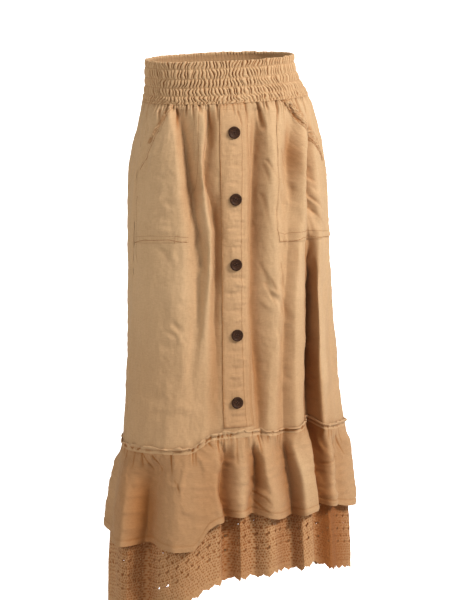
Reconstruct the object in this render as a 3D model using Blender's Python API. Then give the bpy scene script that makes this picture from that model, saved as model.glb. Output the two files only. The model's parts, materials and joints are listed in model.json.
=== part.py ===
"""Maxi skirt: shirred waistband, gathered panels with a buttoned placket and two pockets,
a gathered flounce with a frill, and a lace tier below it.

Metres, +Z up, the front towards -Y.  The origin is the middle of the waist's opening.
Run with: blender --background --python part.py
"""
import bpy
import bmesh
from mathutils import Matrix, Vector
import math
import numpy as np

MM = 0.001

# The skirt is described on a grid of two numbers.
#   down : millimetres down the cloth from the top row of shirring stitches
#   turn : share of the way round from the centre front, + towards +X (-0.5 to 0.5)
# Lengths are in millimetres here, and in metres in the meshes.

# ---------------------------------------------------------------- the form
# columns: down, centre_x, centre_y, half_width, half_depth, twist (degrees),
#          squareness, rise_per_x, rise_per_y
SECTIONS = (
    (-14,   0,  0, 127,  94,  0, 2.10, 0.045, 0.060),
    (0,     0,  0, 128,  95,  0, 2.10, 0.045, 0.060),
    (30,    5,  2, 133,  99,  0, 2.10, 0.045, 0.055),
    (55,   11,  4, 143, 105,  1, 2.10, 0.043, 0.050),
    (75,   12,  6, 150, 110,  2, 2.10, 0.040, 0.045),
    (120,  12,  9, 162, 117,  3, 2.10, 0.038, 0.040),
    (190,  14, 12, 174, 124,  5, 2.10, 0.034, 0.030),
    (300,  18, 16, 183, 130,  9, 2.08, 0.028, 0.020),
    (450,  24, 20, 190, 139, 13, 2.06, 0.024, 0.012),
    (600,  30, 24, 208, 150, 17, 2.04, 0.020, 0.006),
    (680,  33, 26, 220, 157, 19, 2.02, 0.020, 0.004),
    (750,  31, 28, 232, 165, 20, 2.02, 0.020, 0.002),
    (860,  30, 30, 245, 176, 21, 2.02, 0.020, 0.000),
    (1010, 30, 30, 250, 182, 21, 2.02, 0.020, 0.000),
    (1060, 30, 30, 251, 183, 21, 2.02, 0.020, 0.000),
)
FRONT_X = 3.0            # where the centre front meets every section

# The body's crests and troughs, each a line down the cloth.
# columns of each row: down, turn, out (how far it stands out), over (how far it leans sideways)
BODY_FOLDS = (
    ("left_seam",       ((60, -0.203, 0, 0), (300, -0.203, 1, 0), (640, -0.203, 1, 0))),
    ("left_swell",      ((75, -0.185, 2, 0), (135, -0.178, 2, 0), (215, -0.168, 2, 0), (390, -0.157, 3, 0), (640, -0.149, 3, 0))),
    ("left_ridge",      ((60, -0.146, 4, 0), (91, -0.1295, 7, 0), (115, -0.1191, 9, 0), (140, -0.1144, 10, 0), (190, -0.1073, 10, 0), (241, -0.1050, 9, 0), (300, -0.0985, 8, 0), (369, -0.0950, 7, 0), (472, -0.0925, 6, 0), (640, -0.098, 5, 0))),
    ("left_trough",     ((60, -0.127, -5, 0), (70, -0.1215, -8, -1), (92, -0.1120, -12, -2), (117, -0.1023, -12, -2), (142, -0.0975, -12, -2), (167, -0.0912, -11, -2), (193, -0.0848, -12, -2), (243, -0.0742, -10, -2), (277, -0.0680, -9, -1), (337, -0.0671, -6, 0), (388, -0.0701, -3, 0), (439, -0.0760, 0, 0), (508, -0.0780, 2, 0), (640, -0.078, 3, 0))),
    ("inner_ridge",     ((60, -0.0760, 2, 0), (91, -0.0700, 8, 3), (116, -0.0724, 10, 4), (141, -0.0735, 11, 5), (166, -0.0714, 11, 5), (191, -0.0680, 11, 5), (217, -0.0645, 10, 4), (242, -0.0602, 9, 3), (276, -0.0546, 9, 3), (326, -0.0538, 8, 3), (369, -0.0559, 7, 3), (421, -0.0587, 5, 2), (473, -0.0604, 4, 1), (542, -0.0600, 2, 0), (640, -0.057, 1, 0))),
    ("placket_trough",  ((60, -0.064, -4, 0), (71, -0.0614, -8, -1), (93, -0.0590, -12, -2), (118, -0.0574, -11, -2), (143, -0.0600, -9, -3), (168, -0.0590, -8, -3), (193, -0.0560, -8, -3), (219, -0.0490, -10, -2), (245, -0.0430, -12, -2), (279, -0.0390, -11, -2), (330, -0.0390, -11, -2), (373, -0.0397, -10, -2), (424, -0.0399, -9, -2), (476, -0.0392, -6, -1), (519, -0.0380, -3, 0), (561, -0.0370, -1, 0), (640, -0.037, 0, 0))),
    ("placket_side",    ((60, -0.0378, 3, 0), (115, -0.0366, 3, 0), (175, -0.0345, 2, 0), (215, -0.0325, -1, 0), (290, -0.0305, -3, 0), (390, -0.0300, -2, 0), (490, -0.0303, 0, 0), (560, -0.0300, 0, 0), (640, -0.0260, 0, 0))),
    ("placket_crown",   ((65, -0.007, 3, 0), (135, -0.006, 5, 0), (250, -0.003, 5, 0), (390, -0.002, 5, 0), (490, -0.002, 4, 0), (640, 0.000, 2, 0))),
    ("placket_edge",    ((65, 0.0180, 0, 0), (120, 0.0170, 0, 1), (220, 0.0150, 0, 2), (325, 0.0138, 0, 2), (425, 0.0135, 0, 2), (510, 0.0150, 0, 1), (566, 0.0165, 0, 0), (640, 0.0215, 0, 0))),
    ("right_trough",    ((60, 0.046, -4, 0), (75, 0.0450, -8, -1), (97, 0.0427, -12, -2), (122, 0.0390, -15, -2), (147, 0.0365, -16, -3), (173, 0.0342, -16, -3), (224, 0.0318, -16, -3), (275, 0.0298, -16, -3), (344, 0.0268, -15, -3), (413, 0.0268, -14, -3), (465, 0.0273, -13, -2), (518, 0.0310, -11, -2), (561, 0.0300, -9, -1), (640, 0.030, -4, 0))),
    ("right_slope",     ((60, 0.062, 1, 0), (97, 0.0585, 4, 1), (147, 0.0560, 8, 1), (223, 0.0522, 9, 1), (309, 0.0525, 9, 1), (395, 0.0563, 9, 1), (482, 0.0535, 9, 1), (551, 0.0455, 7, 1), (640, 0.040, 4, 0))),
    ("right_ridge",     ((60, 0.069, 4, 0), (97, 0.0685, 7, 0), (147, 0.0640, 11, 0), (223, 0.0600, 12, 0), (309, 0.0610, 12, 0), (396, 0.0645, 12, 0), (482, 0.0610, 11, 0), (552, 0.0530, 9, 0), (640, 0.048, 6, 0))),
    ("right_hollow",    ((60, 0.127, -2, 0), (80, 0.1268, -6, 0), (103, 0.1260, -10, 0), (128, 0.1190, -13, 0), (154, 0.1060, -12, 0), (180, 0.1030, -11, 0), (205, 0.1005, -7, 0), (255, 0.0955, -3, 0), (316, 0.0930, -1, 0), (385, 0.0840, 1, 0), (455, 0.0800, 1, 0), (525, 0.0750, -1, 0), (640, 0.070, -3, 0))),
    ("drag_ridge",      ((60, 0.156, 1, 0), (104, 0.1500, 4, 1), (129, 0.1394, 8, 3), (153, 0.1261, 11, 4), (204, 0.1187, 12, 5), (255, 0.1154, 12, 5), (290, 0.1085, 12, 5), (315, 0.1030, 13, 6), (384, 0.0920, 15, 8), (453, 0.0868, 15, 8), (523, 0.0845, 15, 8), (576, 0.0814, 15, 8), (640, 0.0806, 14, 8))),
    ("deep_valley",     ((60, 0.176, 0, 0), (109, 0.1740, -3, -1), (134, 0.1680, -6, -2), (158, 0.1590, -12, -3), (184, 0.1530, -17, -3), (209, 0.1490, -13, -2), (261, 0.1470, -6, 0), (298, 0.1500, -10, 4), (325, 0.1514, -16, 8), (362, 0.1538, -22, 13), (399, 0.1533, -26, 16), (471, 0.1492, -29, 17), (543, 0.1408, -31, 17), (616, 0.1343, -32, 17), (654, 0.1356, -32, 17))),
    ("right_lobe",      ((60, 0.192, 1, 0), (159, 0.1765, 3, 0), (211, 0.1750, 5, 0), (264, 0.1765, 5, -2), (325, 0.1735, 6, -5), (394, 0.1625, 10, -8), (465, 0.1605, 12, -8), (537, 0.1545, 10, -5), (611, 0.1535, 9, -3), (649, 0.1540, 9, -3))),
    ("right_soft_dip",  ((60, 0.212, 0, 0), (300, 0.207, 3, 0), (640, 0.203, 3, 0))),
    ("right_seam",      ((60, 0.240, 3, 0), (175, 0.240, 6, 0), (430, 0.240, 6, 0), (640, 0.240, 6, 0))),
    ("back_dip_1",      ((60, 0.272, -2, 0), (150, 0.276, -4, 0), (300, 0.280, -5, 0), (470, 0.284, -8, 0), (640, 0.288, -9, 0))),
    ("back_ridge_1",    ((60, 0.305, 3, 0), (200, 0.312, 5, 0), (400, 0.318, 7, 2), (640, 0.322, 9, 2))),
    ("back_dip_2",      ((60, 0.335, -3, 0), (180, 0.345, -7, 0), (360, 0.352, -9, 0), (520, 0.355, -12, -2), (640, 0.358, -12, -2))),
    ("back_ridge_2",    ((60, 0.372, 2, 0), (220, 0.385, 5, 0), (420, 0.392, 8, 0), (640, 0.395, 9, 0))),
    ("back_dip_3",      ((60, 0.405, -2, 0), (160, 0.418, -6, 0), (330, 0.430, -5, 0), (450, 0.435, -3, 0), (640, 0.437, -6, 0))),
    ("back_ridge_3",    ((60, 0.440, 3, 0), (240, 0.462, 6, 0), (430, 0.470, 6, -2), (640, 0.475, 8, -3))),
    ("back_dip_4",      ((60, 0.482, -4, 0), (150, 0.500, -8, 0), (300, 0.508, -10, 0), (460, 0.512, -13, 2), (640, 0.515, -14, 3))),
    ("back_ridge_4",    ((60, 0.525, 3, 0), (200, 0.540, 6, 0), (400, 0.548, 9, 0), (640, 0.552, 10, 0))),
    ("back_dip_5",      ((60, 0.562, -2, 0), (170, 0.575, -5, 0), (340, 0.580, -4, 0), (500, 0.585, -7, 0), (640, 0.588, -9, 0))),
    ("back_ridge_5",    ((60, 0.600, 2, 0), (210, 0.612, 5, 0), (420, 0.620, 6, 0), (640, 0.625, 8, 0))),
    ("back_dip_6",      ((60, 0.640, -3, 0), (180, 0.652, -7, 0), (380, 0.660, -9, 0), (640, 0.665, -11, 0))),
    ("back_ridge_6",    ((60, 0.680, 2, 0), (230, 0.692, 4, 0), (430, 0.700, 6, 0), (640, 0.705, 8, 0))),
    ("back_dip_7",      ((60, 0.735, -1, 0), (140, 0.748, -3, 0), (200, 0.757, -2, 0), (400, 0.758, -1, 0), (640, 0.760, -3, 0))),
)
# the flounce's crests and troughs below its seam, the same columns
RUFFLE_FOLDS = (
    ("flute_1",         ((656, -0.1760, 3, 0), (701, -0.1725, 9, 0), (750, -0.1680, 14, 0), (830, -0.164, 17, 0))),
    ("dip_1",           ((648, -0.1312, -3, 0), (661, -0.1285, -9, 0), (698, -0.1343, -16, 0), (726, -0.1425, -20, 0), (753, -0.1440, -22, 0), (830, -0.1455, -22, 0))),
    ("flute_2",         ((642, -0.0890, 3, 0), (687, -0.0880, 8, 0), (737, -0.0870, 12, 0), (830, -0.086, 15, 0))),
    ("flute_2_edge",    ((629, -0.0440, 3, 1), (654, -0.0425, 8, 4), (688, -0.0477, 10, 7), (713, -0.0484, 11, 8), (740, -0.0441, 11, 7), (766, -0.0385, 10, 6), (830, -0.0379, 9, 6))),
    ("dip_2",           ((632, -0.0299, -3, 0), (661, -0.0230, -12, -4), (697, -0.0265, -16, -5), (723, -0.0286, -18, -5), (750, -0.0244, -18, -5), (777, -0.0200, -17, -4), (830, -0.0170, -15, -4))),
    ("flute_3",         ((633, -0.0020, 3, 0), (667, -0.0030, 5, 0), (702, -0.0015, 6, 0), (737, -0.0030, 5, 0), (830, -0.0030, 4, 0))),
    ("dip_3",           ((637, 0.0139, -4, 0), (676, 0.0235, -13, 0), (712, 0.0232, -15, 0), (745, 0.0180, -15, 0), (830, 0.0170, -13, 0))),
    ("flute_4",         ((636, 0.0290, 5, 0), (671, 0.0345, 11, -3), (706, 0.0375, 14, -4), (742, 0.0425, 16, -4), (830, 0.0445, 16, -4))),
    ("dip_4",           ((648, 0.0690, -8, 1), (688, 0.0755, -13, 5), (727, 0.0790, -15, 6), (764, 0.0800, -15, 6), (830, 0.0790, -15, 6))),
    ("flute_5",         ((648, 0.0815, 10, -2), (685, 0.0885, 13, -3), (720, 0.0905, 16, 0), (757, 0.0920, 16, 0), (830, 0.0915, 16, 0))),
    ("flute_5_edge",    ((650, 0.0965, 11, 6), (687, 0.0990, 14, 9), (724, 0.0990, 15, 10), (761, 0.1010, 16, 10), (830, 0.1005, 16, 10))),
    ("dip_5",           ((660, 0.1340, -28, 13), (708, 0.1340, -22, 11), (745, 0.1325, -19, 9), (830, 0.1330, -17, 8))),
    ("flute_6",         ((666, 0.1625, 11, -6), (703, 0.1610, 12, -5), (741, 0.1585, 12, -5), (830, 0.1565, 12, -5))),
    ("dip_6",        ((640, 0.185, 0, 0), (720, 0.185, -5, 0), (830, 0.185, -6, 0))),
    ("flute_7",      ((640, 0.228, 5, 0), (690, 0.226, 15, 0), (760, 0.226, 15, 0), (830, 0.226, 15, 0))),
    ("dip_7",        ((640, 0.266, -2, 0), (720, 0.266, -11, 0), (830, 0.264, -15, 0))),
    ("flute_8",      ((640, 0.296, 2, 0), (720, 0.298, 11, 3), (830, 0.298, 15, 4))),
    ("dip_8",        ((640, 0.328, -3, 0), (720, 0.332, -12, -2), (830, 0.334, -16, -3))),
    ("flute_9",      ((640, 0.366, 3, 0), (720, 0.368, 12, 0), (830, 0.370, 15, 0))),
    ("dip_9",        ((640, 0.402, -2, 0), (720, 0.400, -9, 0), (830, 0.400, -12, 0))),
    ("flute_10",     ((640, 0.438, 2, 0), (720, 0.436, 11, -2), (830, 0.438, 14, -3))),
    ("dip_10",       ((640, 0.474, -3, 0), (720, 0.472, -13, 2), (830, 0.470, -17, 3))),
    ("flute_11",     ((640, 0.512, 2, 0), (720, 0.514, 10, 0), (830, 0.515, 14, 0))),
    ("dip_11",       ((640, 0.552, -2, 0), (720, 0.554, -10, 0), (830, 0.556, -13, 0))),
    ("flute_12",     ((640, 0.588, 3, 0), (720, 0.590, 12, 2), (830, 0.592, 15, 3))),
    ("dip_12",       ((640, 0.626, -2, 0), (720, 0.630, -12, -2), (830, 0.632, -16, -3))),
    ("flute_13",     ((640, 0.664, 2, 0), (720, 0.666, 10, 0), (830, 0.668, 13, 0))),
    ("dip_13",       ((640, 0.702, -2, 0), (720, 0.704, -9, 0), (830, 0.706, -12, 0))),
    ("flute_14",     ((640, 0.738, 2, 0), (720, 0.740, 9, 0), (830, 0.742, 12, 0))),
    ("dip_14",       ((640, 0.780, 0, 0), (720, 0.778, -2, 0), (830, 0.776, -3, 0))),
)
# edges that run round the cloth: turn, down
SEAM = ((-0.217, 662), (-0.157, 654), (-0.124, 650), (-0.078, 648), (-0.062, 638), (-0.045, 626), (-0.003, 624),
        (0.026, 625), (0.064, 629), (0.092, 627), (0.138, 631), (0.153, 640), (0.222, 659), (0.244, 663), (0.275, 668), (0.36, 656), (0.50, 650), (0.64, 658), (0.745, 674))
HEM = ((-0.208, 826), (-0.157, 822), (-0.124, 816), (-0.102, 819), (-0.071, 817), (-0.0627, 804), (-0.052, 780),
       (-0.038, 772), (0.001, 768), (0.024, 771), (0.041, 776), (0.080, 787), (0.100, 783), (0.135, 785), (0.160, 792), (0.210, 815), (0.240, 822), (0.35, 812), (0.50, 808), (0.65, 818))
LACE_HEM = ((-0.20, 958), (-0.13, 950), (-0.090, 925), (-0.065, 901), (-0.050, 888), (-0.025, 883), (0.026, 884), (0.045, 878),
            (0.083, 889), (0.103, 881), (0.154, 912), (0.223, 943), (0.240, 949), (0.33, 984), (0.42, 1004), (0.50, 1018), (0.58, 1020), (0.66, 1010), (0.73, 985))


def ease(x, y, q):
    """Smooth curve through the columns of y at x, read at q; level at every crest."""
    x = np.asarray(x, float); y = np.asarray(y, float); q = np.clip(np.asarray(q, float), x[0], x[-1])
    h = np.diff(x); d = np.diff(y, axis=0) / h[:, None]
    m = np.zeros_like(y)
    for k in range(1, len(x) - 1):
        a, b = d[k-1], d[k]; w1 = 2*h[k] + h[k-1]; w2 = h[k] + 2*h[k-1]
        same = a*b > 0
        m[k] = np.where(same, (w1 + w2) / (w1/np.where(same, a, 1) + w2/np.where(same, b, 1)), 0)
    m[0] = d[0]; m[-1] = d[-1]
    i = np.clip(np.searchsorted(x, q, side='right') - 1, 0, len(x) - 2)
    t = ((q - x[i]) / h[i])[:, None]; H = h[i][:, None]
    return ((1+2*t)*(1-t)**2*y[i] + t*(1-t)**2*H*m[i] + t*t*(3-2*t)*y[i+1] + t*t*(t-1)*H*m[i+1])


def round_line(table, u):
    """down of an edge at each turn, the same at both ends of the circle"""
    x = [a for a, b in table]; y = [[b] for a, b in table]
    x = [x[-1] - 1] + x + [x[0] + 1]; y = [y[-1]] + y + [y[0]]
    q = np.mod(np.asarray(u, float) - x[1], 1.0) + x[1]
    return ease(x, y, q.ravel())[:, 0].reshape(q.shape)


ROWS, COLS = 129, 1440
ROW_AT = np.linspace(SECTIONS[0][0], SECTIONS[-1][0], ROWS)


def form_tables():
    """the smooth form without folds: a point and an outward direction at every row and column, and each row's girth"""
    v = ease([r[0] for r in SECTIONS], [r[1:] for r in SECTIONS], ROW_AT)
    P = np.zeros((ROWS, COLS+1, 3)); N = np.zeros((ROWS, COLS+1, 2)); G = np.zeros(ROWS)
    th = np.linspace(-math.pi, math.pi, 5761)
    for k, s in enumerate(ROW_AT):
        cx, cy, a, b, tw, n, lx, ly = v[k]
        sx = np.sign(np.sin(th))*np.abs(np.sin(th))**(2/n)*a
        sy = -np.sign(np.cos(th))*np.abs(np.cos(th))**(2/n)*b
        t = math.radians(tw)
        x = cx + sx*math.cos(t) - sy*math.sin(t); y = cy + sx*math.sin(t) + sy*math.cos(t)
        f0 = np.where((x[:-1] <= FRONT_X) & (x[1:] > FRONT_X) & (y[:-1] < cy))[0][0]
        x = np.append(np.roll(x[:-1], -f0), x[f0]); y = np.append(np.roll(y[:-1], -f0), y[f0])
        c = np.append(0, np.cumsum(np.hypot(np.diff(x), np.diff(y)))); G[k] = c[-1]
        start = (FRONT_X - x[0])/(x[1] - x[0])*c[1]
        u = np.mod(np.linspace(0, 1, COLS+1)*c[-1] + start, c[-1])
        X = np.interp(u, c, x); Y = np.interp(u, c, y)
        tx = np.roll(X[:-1], -1) - np.roll(X[:-1], 1); ty = np.roll(Y[:-1], -1) - np.roll(Y[:-1], 1)
        tx = np.append(tx, tx[0]); ty = np.append(ty, ty[0]); ln = np.hypot(tx, ty)
        P[k, :, 0] = X; P[k, :, 1] = Y; P[k, :, 2] = -s + lx*(X-cx) + ly*(Y-cy)
        N[k, :, 0] = ty/ln; N[k, :, 1] = -tx/ln
    return P, N, G


FORM_P, FORM_N, GIRTH = form_tables()
FORM = np.concatenate([FORM_P, FORM_N, np.repeat(GIRTH[:, None, None], COLS+1, 1)], 2)


def form_at(u, s):
    """point (3), outward (2) and girth (1) of the smooth form, any arrays of turn and down"""
    u = np.mod(u, 1.0)*COLS; i = np.minimum(u.astype(int), COLS-1); a = (u - i)[..., None]
    f = np.clip((s - ROW_AT[0])/(ROW_AT[1] - ROW_AT[0]), 0, ROWS - 1 - 1e-9); j = f.astype(int); b = (f - j)[..., None]
    def row(k):
        k = np.clip(k, 0, ROWS-1)
        return FORM[k, i]*(1-a) + FORM[k, i+1]*a
    p0, p1, p2, p3 = row(j-1), row(j), row(j+1), row(j+2)
    return 0.5*(2*p1 + (p2-p0)*b + (2*p0 - 5*p1 + 4*p2 - p3)*b**2 + (3*p1 - p0 - 3*p2 + p3)*b**3)


def folds_at(table, u, s):
    """how far folds stand out and lean over, at any turn and down"""
    shape = u.shape; u = u.ravel(); s = s.ravel()
    lines = [ease([p[0] for p in pts], [p[1:] for p in pts], s) for _, pts in table]
    A = np.stack(lines, 0)                                   # lines, points, (turn, out, over)
    first = A[0, :, 0]
    A = np.concatenate([A[-2:] - [1, 0, 0], A, A[:2] + [1, 0, 0], A[2:3] + [1, 0, 0]], 0)
    q = np.mod(u - first, 1.0) + first
    k = np.clip((A[:, :, 0] <= q[None]).sum(0) - 1, 1, len(A) - 3)
    n = np.arange(len(q))
    x0, x1, x2, x3 = A[k-1, n, 0], A[k, n, 0], A[k+1, n, 0], A[k+2, n, 0]
    h0, h1, h2 = x1-x0, np.maximum(x2-x1, 1e-6), x3-x2
    t = np.clip((q-x1)/h1, 0, 1)[:, None]
    def slope(a, b, ha, hb):
        w1 = 2*hb + ha; w2 = hb + 2*ha; same = a*b > 0
        return np.where(same, (w1+w2)[:, None]/(w1[:, None]/np.where(same, a, 1) + w2[:, None]/np.where(same, b, 1)), 0)
    y0, y1, y2, y3 = (A[k+d, n, 1:] for d in (-1, 0, 1, 2))
    d0, d1, d2 = (y1-y0)/np.maximum(h0, 1e-6)[:, None], (y2-y1)/h1[:, None], (y3-y2)/np.maximum(h2, 1e-6)[:, None]
    m1 = slope(d0, d1, h0, h1); m2 = slope(d1, d2, h1, h2); H = h1[:, None]
    v = (1+2*t)*(1-t)**2*y1 + t*(1-t)**2*H*m1 + t*t*(3-2*t)*y2 + t*t*(t-1)*H*m2
    return v.reshape(shape + (2,))


def step(x):
    x = np.clip(x, 0, 1)
    return x*x*(3 - 2*x)


BLEND_FROM, BLEND_OVER = 4.0, 32.0     # below the seam, body folds turn into flutes
LACE_IN, LACE_KEEP = 8.0, 0.8          # the lace hangs inside the flounce, with calmer flutes


def layer(kind, u, s):
    """the middle of a layer of cloth, in millimetres"""
    u = np.asarray(u, float); s = np.asarray(s, float)
    u, s = np.broadcast_arrays(u, s)
    base = form_at(u, s)
    body = folds_at(BODY_FOLDS, u, np.minimum(s, 660.0))
    top = step((s - 57.5)/16.0)[..., None]        # the waistband carries none of the folds
    body = body*top
    if kind == "body":
        f = body
    else:
        w = step((s - round_line(SEAM, u) - BLEND_FROM)/BLEND_OVER)[..., None]
        r = folds_at(RUFFLE_FOLDS, u, s)
        if kind == "lace":
            r = r*[LACE_KEEP, LACE_KEEP] - [LACE_IN, 0]
        f = body*(1-w) + r*w
    P = base[..., :3].copy()
    n = base[..., 3:5]
    P[..., 0] += n[..., 0]*f[..., 0] - n[..., 1]*f[..., 1]
    P[..., 1] += n[..., 1]*f[..., 0] + n[..., 0]*f[..., 1]
    return P


def skin(kind, u, s, off=0.0, e=1.0):
    """a point off the middle of a layer, along its own outward direction"""
    u = np.asarray(u, float); s = np.asarray(s, float)
    u, s = np.broadcast_arrays(u, s)
    du = e/1100.0
    P = layer(kind, u, s)
    a = layer(kind, u + du, s) - layer(kind, u - du, s)
    b = layer(kind, u, s + e) - layer(kind, u, s - e)
    n = np.cross(b, a)
    n /= np.linalg.norm(n, axis=-1, keepdims=True)
    return P + n*np.asarray(off, float)[..., None] if np.ndim(off) else P + n*off


# ---------------------------------------------------------------- sizes of the pieces
WALL = 1.4               # one layer of cloth
GAP = 0.3                # between neighbours
BAND_WALL = 3.0          # two layers with the elastic between them
BAND_TOP, BAND_END = -11.0, 57.0
BODY_TOP, BODY_UNDER = 57.3, 6.0         # the panels end this far below the flounce's seam
LACE_SINK = -3.0         # the lace lies inside its own fold lines by this much
FRILL = 10.0             # the flounce's own gathered edge above its seam
BUTTON_R, BUTTON_T = 10.3, 4.2

# rows of the panels, down the cloth; the last two follow the flounce's seam
PANEL_ROWS = (BODY_TOP, 75, 100, 140, 190, 250, 320, 400, 490, 575)
BUTTONS = (              # turn, down
    ("button_1", -0.0096, 106), ("button_2", -0.0078, 218), ("button_3", -0.0075, 329),
    ("button_4", -0.0068, 450), ("button_5", -0.0075, 567))
# corners of the pieces sewn on, turn and down, clockwise on the cloth
POCKET_LEFT = ((-0.131, BODY_TOP + 0.4), (-0.0795, BODY_TOP + 0.4), (-0.0875, 289), (-0.2012, 298), (-0.2012, 172))
POCKET_RIGHT = ((0.082, BODY_TOP + 0.4), (0.104, BODY_TOP + 0.4), (0.2384, 200), (0.2384, 312), (0.0690, 298))
TRIM_LEFT = ((-0.1435, BODY_TOP + 0.4), (-0.1316, BODY_TOP + 0.4), (-0.1716, 123), (-0.1790, 123))
TRIM_RIGHT = ((0.1046, BODY_TOP + 0.4), (0.1300, BODY_TOP + 0.4), (0.2270, 172), (0.2125, 172))

COLOURS = {              # linear colour, roughness
    "cloth":      ((0.62, 0.39, 0.19), 0.92),
    "cloth_band": ((0.63, 0.40, 0.20), 0.92),
    "lace":       ((0.56, 0.34, 0.16), 0.95),
    "horn":       ((0.045, 0.027, 0.020), 0.35),
}


def material(name):
    m = bpy.data.materials.get(name)
    if m is None:
        m = bpy.data.materials.new(name)
        m.use_nodes = True
        b = m.node_tree.nodes["Principled BSDF"]
        b.inputs["Base Color"].default_value = (*COLOURS[name][0], 1.0)
        b.inputs["Roughness"].default_value = COLOURS[name][1]
        b.inputs["Metallic"].default_value = 0.0
    return m


def new_object(name, verts, faces, mat):
    mesh = bpy.data.meshes.new(name)
    mesh.from_pydata([tuple(v) for v in verts], [], [tuple(int(i) for i in f) for f in faces])
    mesh.update()
    mesh.materials.append(material(mat))
    ob = bpy.data.objects.new(name, mesh)
    bpy.context.collection.objects.link(ob)
    ob.parent = HOLD
    return ob


def shell(name, low, high, tris, mat):
    """a wall of cloth between two sheets with the same triangles, closed along every free edge"""
    n = len(low)
    count = {}
    for a, b, c in tris:
        for e in ((a, b), (b, c), (c, a)):
            count[e] = count.get(e, 0) + 1
    faces = [(a, b, c) for a, b, c in tris] + [(c + n, b + n, a + n) for a, b, c in tris]
    for (a, b) in count:
        if (b, a) not in count:
            faces += [(b, a, a + n), (b, a + n, b + n)]
    return new_object(name, np.concatenate([high, low])*MM, faces, mat)


def grid_tris(rows, cols, closed=False):
    out = []
    for r in range(rows - 1):
        for c in range(cols if closed else cols - 1):
            d = (c + 1) % cols
            a, b, e, f = r*cols + c, r*cols + d, (r+1)*cols + d, (r+1)*cols + c
            out += [(a, f, e), (a, e, b)]
    return out


def line_turns(s):
    """turn of every fold line of the body at one row"""
    return np.array([ease([p[0] for p in pts], [p[1:] for p in pts], [s])[0, 0] for _, pts in BODY_FOLDS])


LINE = {name: k for k, (name, _) in enumerate(BODY_FOLDS)}
BOTTOM = line_turns(640.0)


def make_columns():
    """columns of the panels: each lies at a share f between fold line k and the next, so creases stay on columns"""
    turns = [(u, True) for u in BOTTOM]
    for name, pts in RUFFLE_FOLDS:
        u = np.mod(pts[1][1] - BOTTOM[0], 1.0) + BOTTOM[0]
        if min(abs(u - t) for t, _ in turns) > 0.0085 and u < BOTTOM[0] + 0.992:
            turns.append((u, False))
    turns = sorted(turns)
    marks = [t for t, _ in turns] + [BOTTOM[0] + 1.0]
    cols = []
    for a, b in zip(marks[:-1], marks[1:]):
        parts = max(1, int(round((b - a)/0.0138)))
        cols += [a + (b - a)*i/parts for i in range(parts)]
    out = []
    ext = np.append(BOTTOM, BOTTOM[0] + 1.0)
    for u in cols:
        k = int(np.searchsorted(ext, u + 1e-9) - 1)
        out.append((k, (u - ext[k])/(ext[k+1] - ext[k])))
    return out


COLUMNS = make_columns()


def turns_at(s):
    ext = line_turns(s)
    ext = np.append(ext, ext[0] + 1.0)
    return np.array([ext[k] + (ext[k+1] - ext[k])*f for k, f in COLUMNS])


def column_of(line):
    return next(i for i, (k, f) in enumerate(COLUMNS) if k == LINE[line] and f < 1e-6)


def panel_grid():
    """turn and down of every node of the panels"""
    u = np.stack([turns_at(s) for s in PANEL_ROWS] + [turns_at(640.0)]*2)
    seam = round_line(SEAM, u[-1])
    s = np.stack([np.full(len(COLUMNS), float(r)) for r in PANEL_ROWS] + [seam - FRILL - 3, seam + BODY_UNDER])
    return u, s


def part_of(u, s, first, last, low, high):
    """the nodes from one column to another, as two sheets; the outer columns step in by half a gap"""
    c = np.arange(first, last + 1)
    cu = u[:, np.mod(c, u.shape[1])] + (c // u.shape[1])[None]
    cs = s[:, np.mod(c, u.shape[1])]
    half = 0.5*GAP/1050.0
    cu = cu.copy(); cu[:, 0] += half; cu[:, -1] -= half
    return cu, cs


def clip(nodes, tris, corners):
    """cut a sheet of triangles to a convex outline in turn and down; nodes hold turn, down and their point and outward"""
    keep = {}; pts = []; out = []
    def index(v):
        key = (round(v[0], 7), round(v[1], 4))
        if key not in keep:
            keep[key] = len(pts); pts.append(v)
        return keep[key]
    for t in tris:
        poly = [nodes[i] for i in t]
        for (u0, s0), (u1, s1) in zip(corners, corners[1:] + corners[:1]):
            nxt = []
            side = [((u1-u0)*(p[1]-s0) - (s1-s0)*(p[0]-u0))*1.0 for p in poly]
            for i in range(len(poly)):
                a, b = poly[i], poly[(i+1) % len(poly)]; fa, fb = side[i], side[(i+1) % len(poly)]
                if fa >= 0:
                    nxt.append(a)
                if (fa >= 0) != (fb >= 0):
                    lo, hi, fl, fh = (a, b, fa, fb) if tuple(a[:2]) < tuple(b[:2]) else (b, a, fb, fa)
                    nxt.append(lo + (hi - lo)*(fl/(fl - fh)))
            poly = nxt
            if len(poly) < 3:
                break
        if len(poly) >= 3:
            ids = [index(p) for p in poly]
            ids = [i for j, i in enumerate(ids) if i != ids[j-1]]
            for j in range(1, len(ids) - 1):
                if len({ids[0], ids[j], ids[j+1]}) == 3:
                    out.append((ids[0], ids[j], ids[j+1]))
    return np.array(pts), out


def sewn_on(name, nodes, tris, corners, low, high, mat="cloth"):
    pts, cut = clip(nodes, tris, list(corners))
    P, n = pts[:, 2:5], pts[:, 5:8]
    return shell(name, P + n*low, P + n*high, cut, mat)


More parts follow.
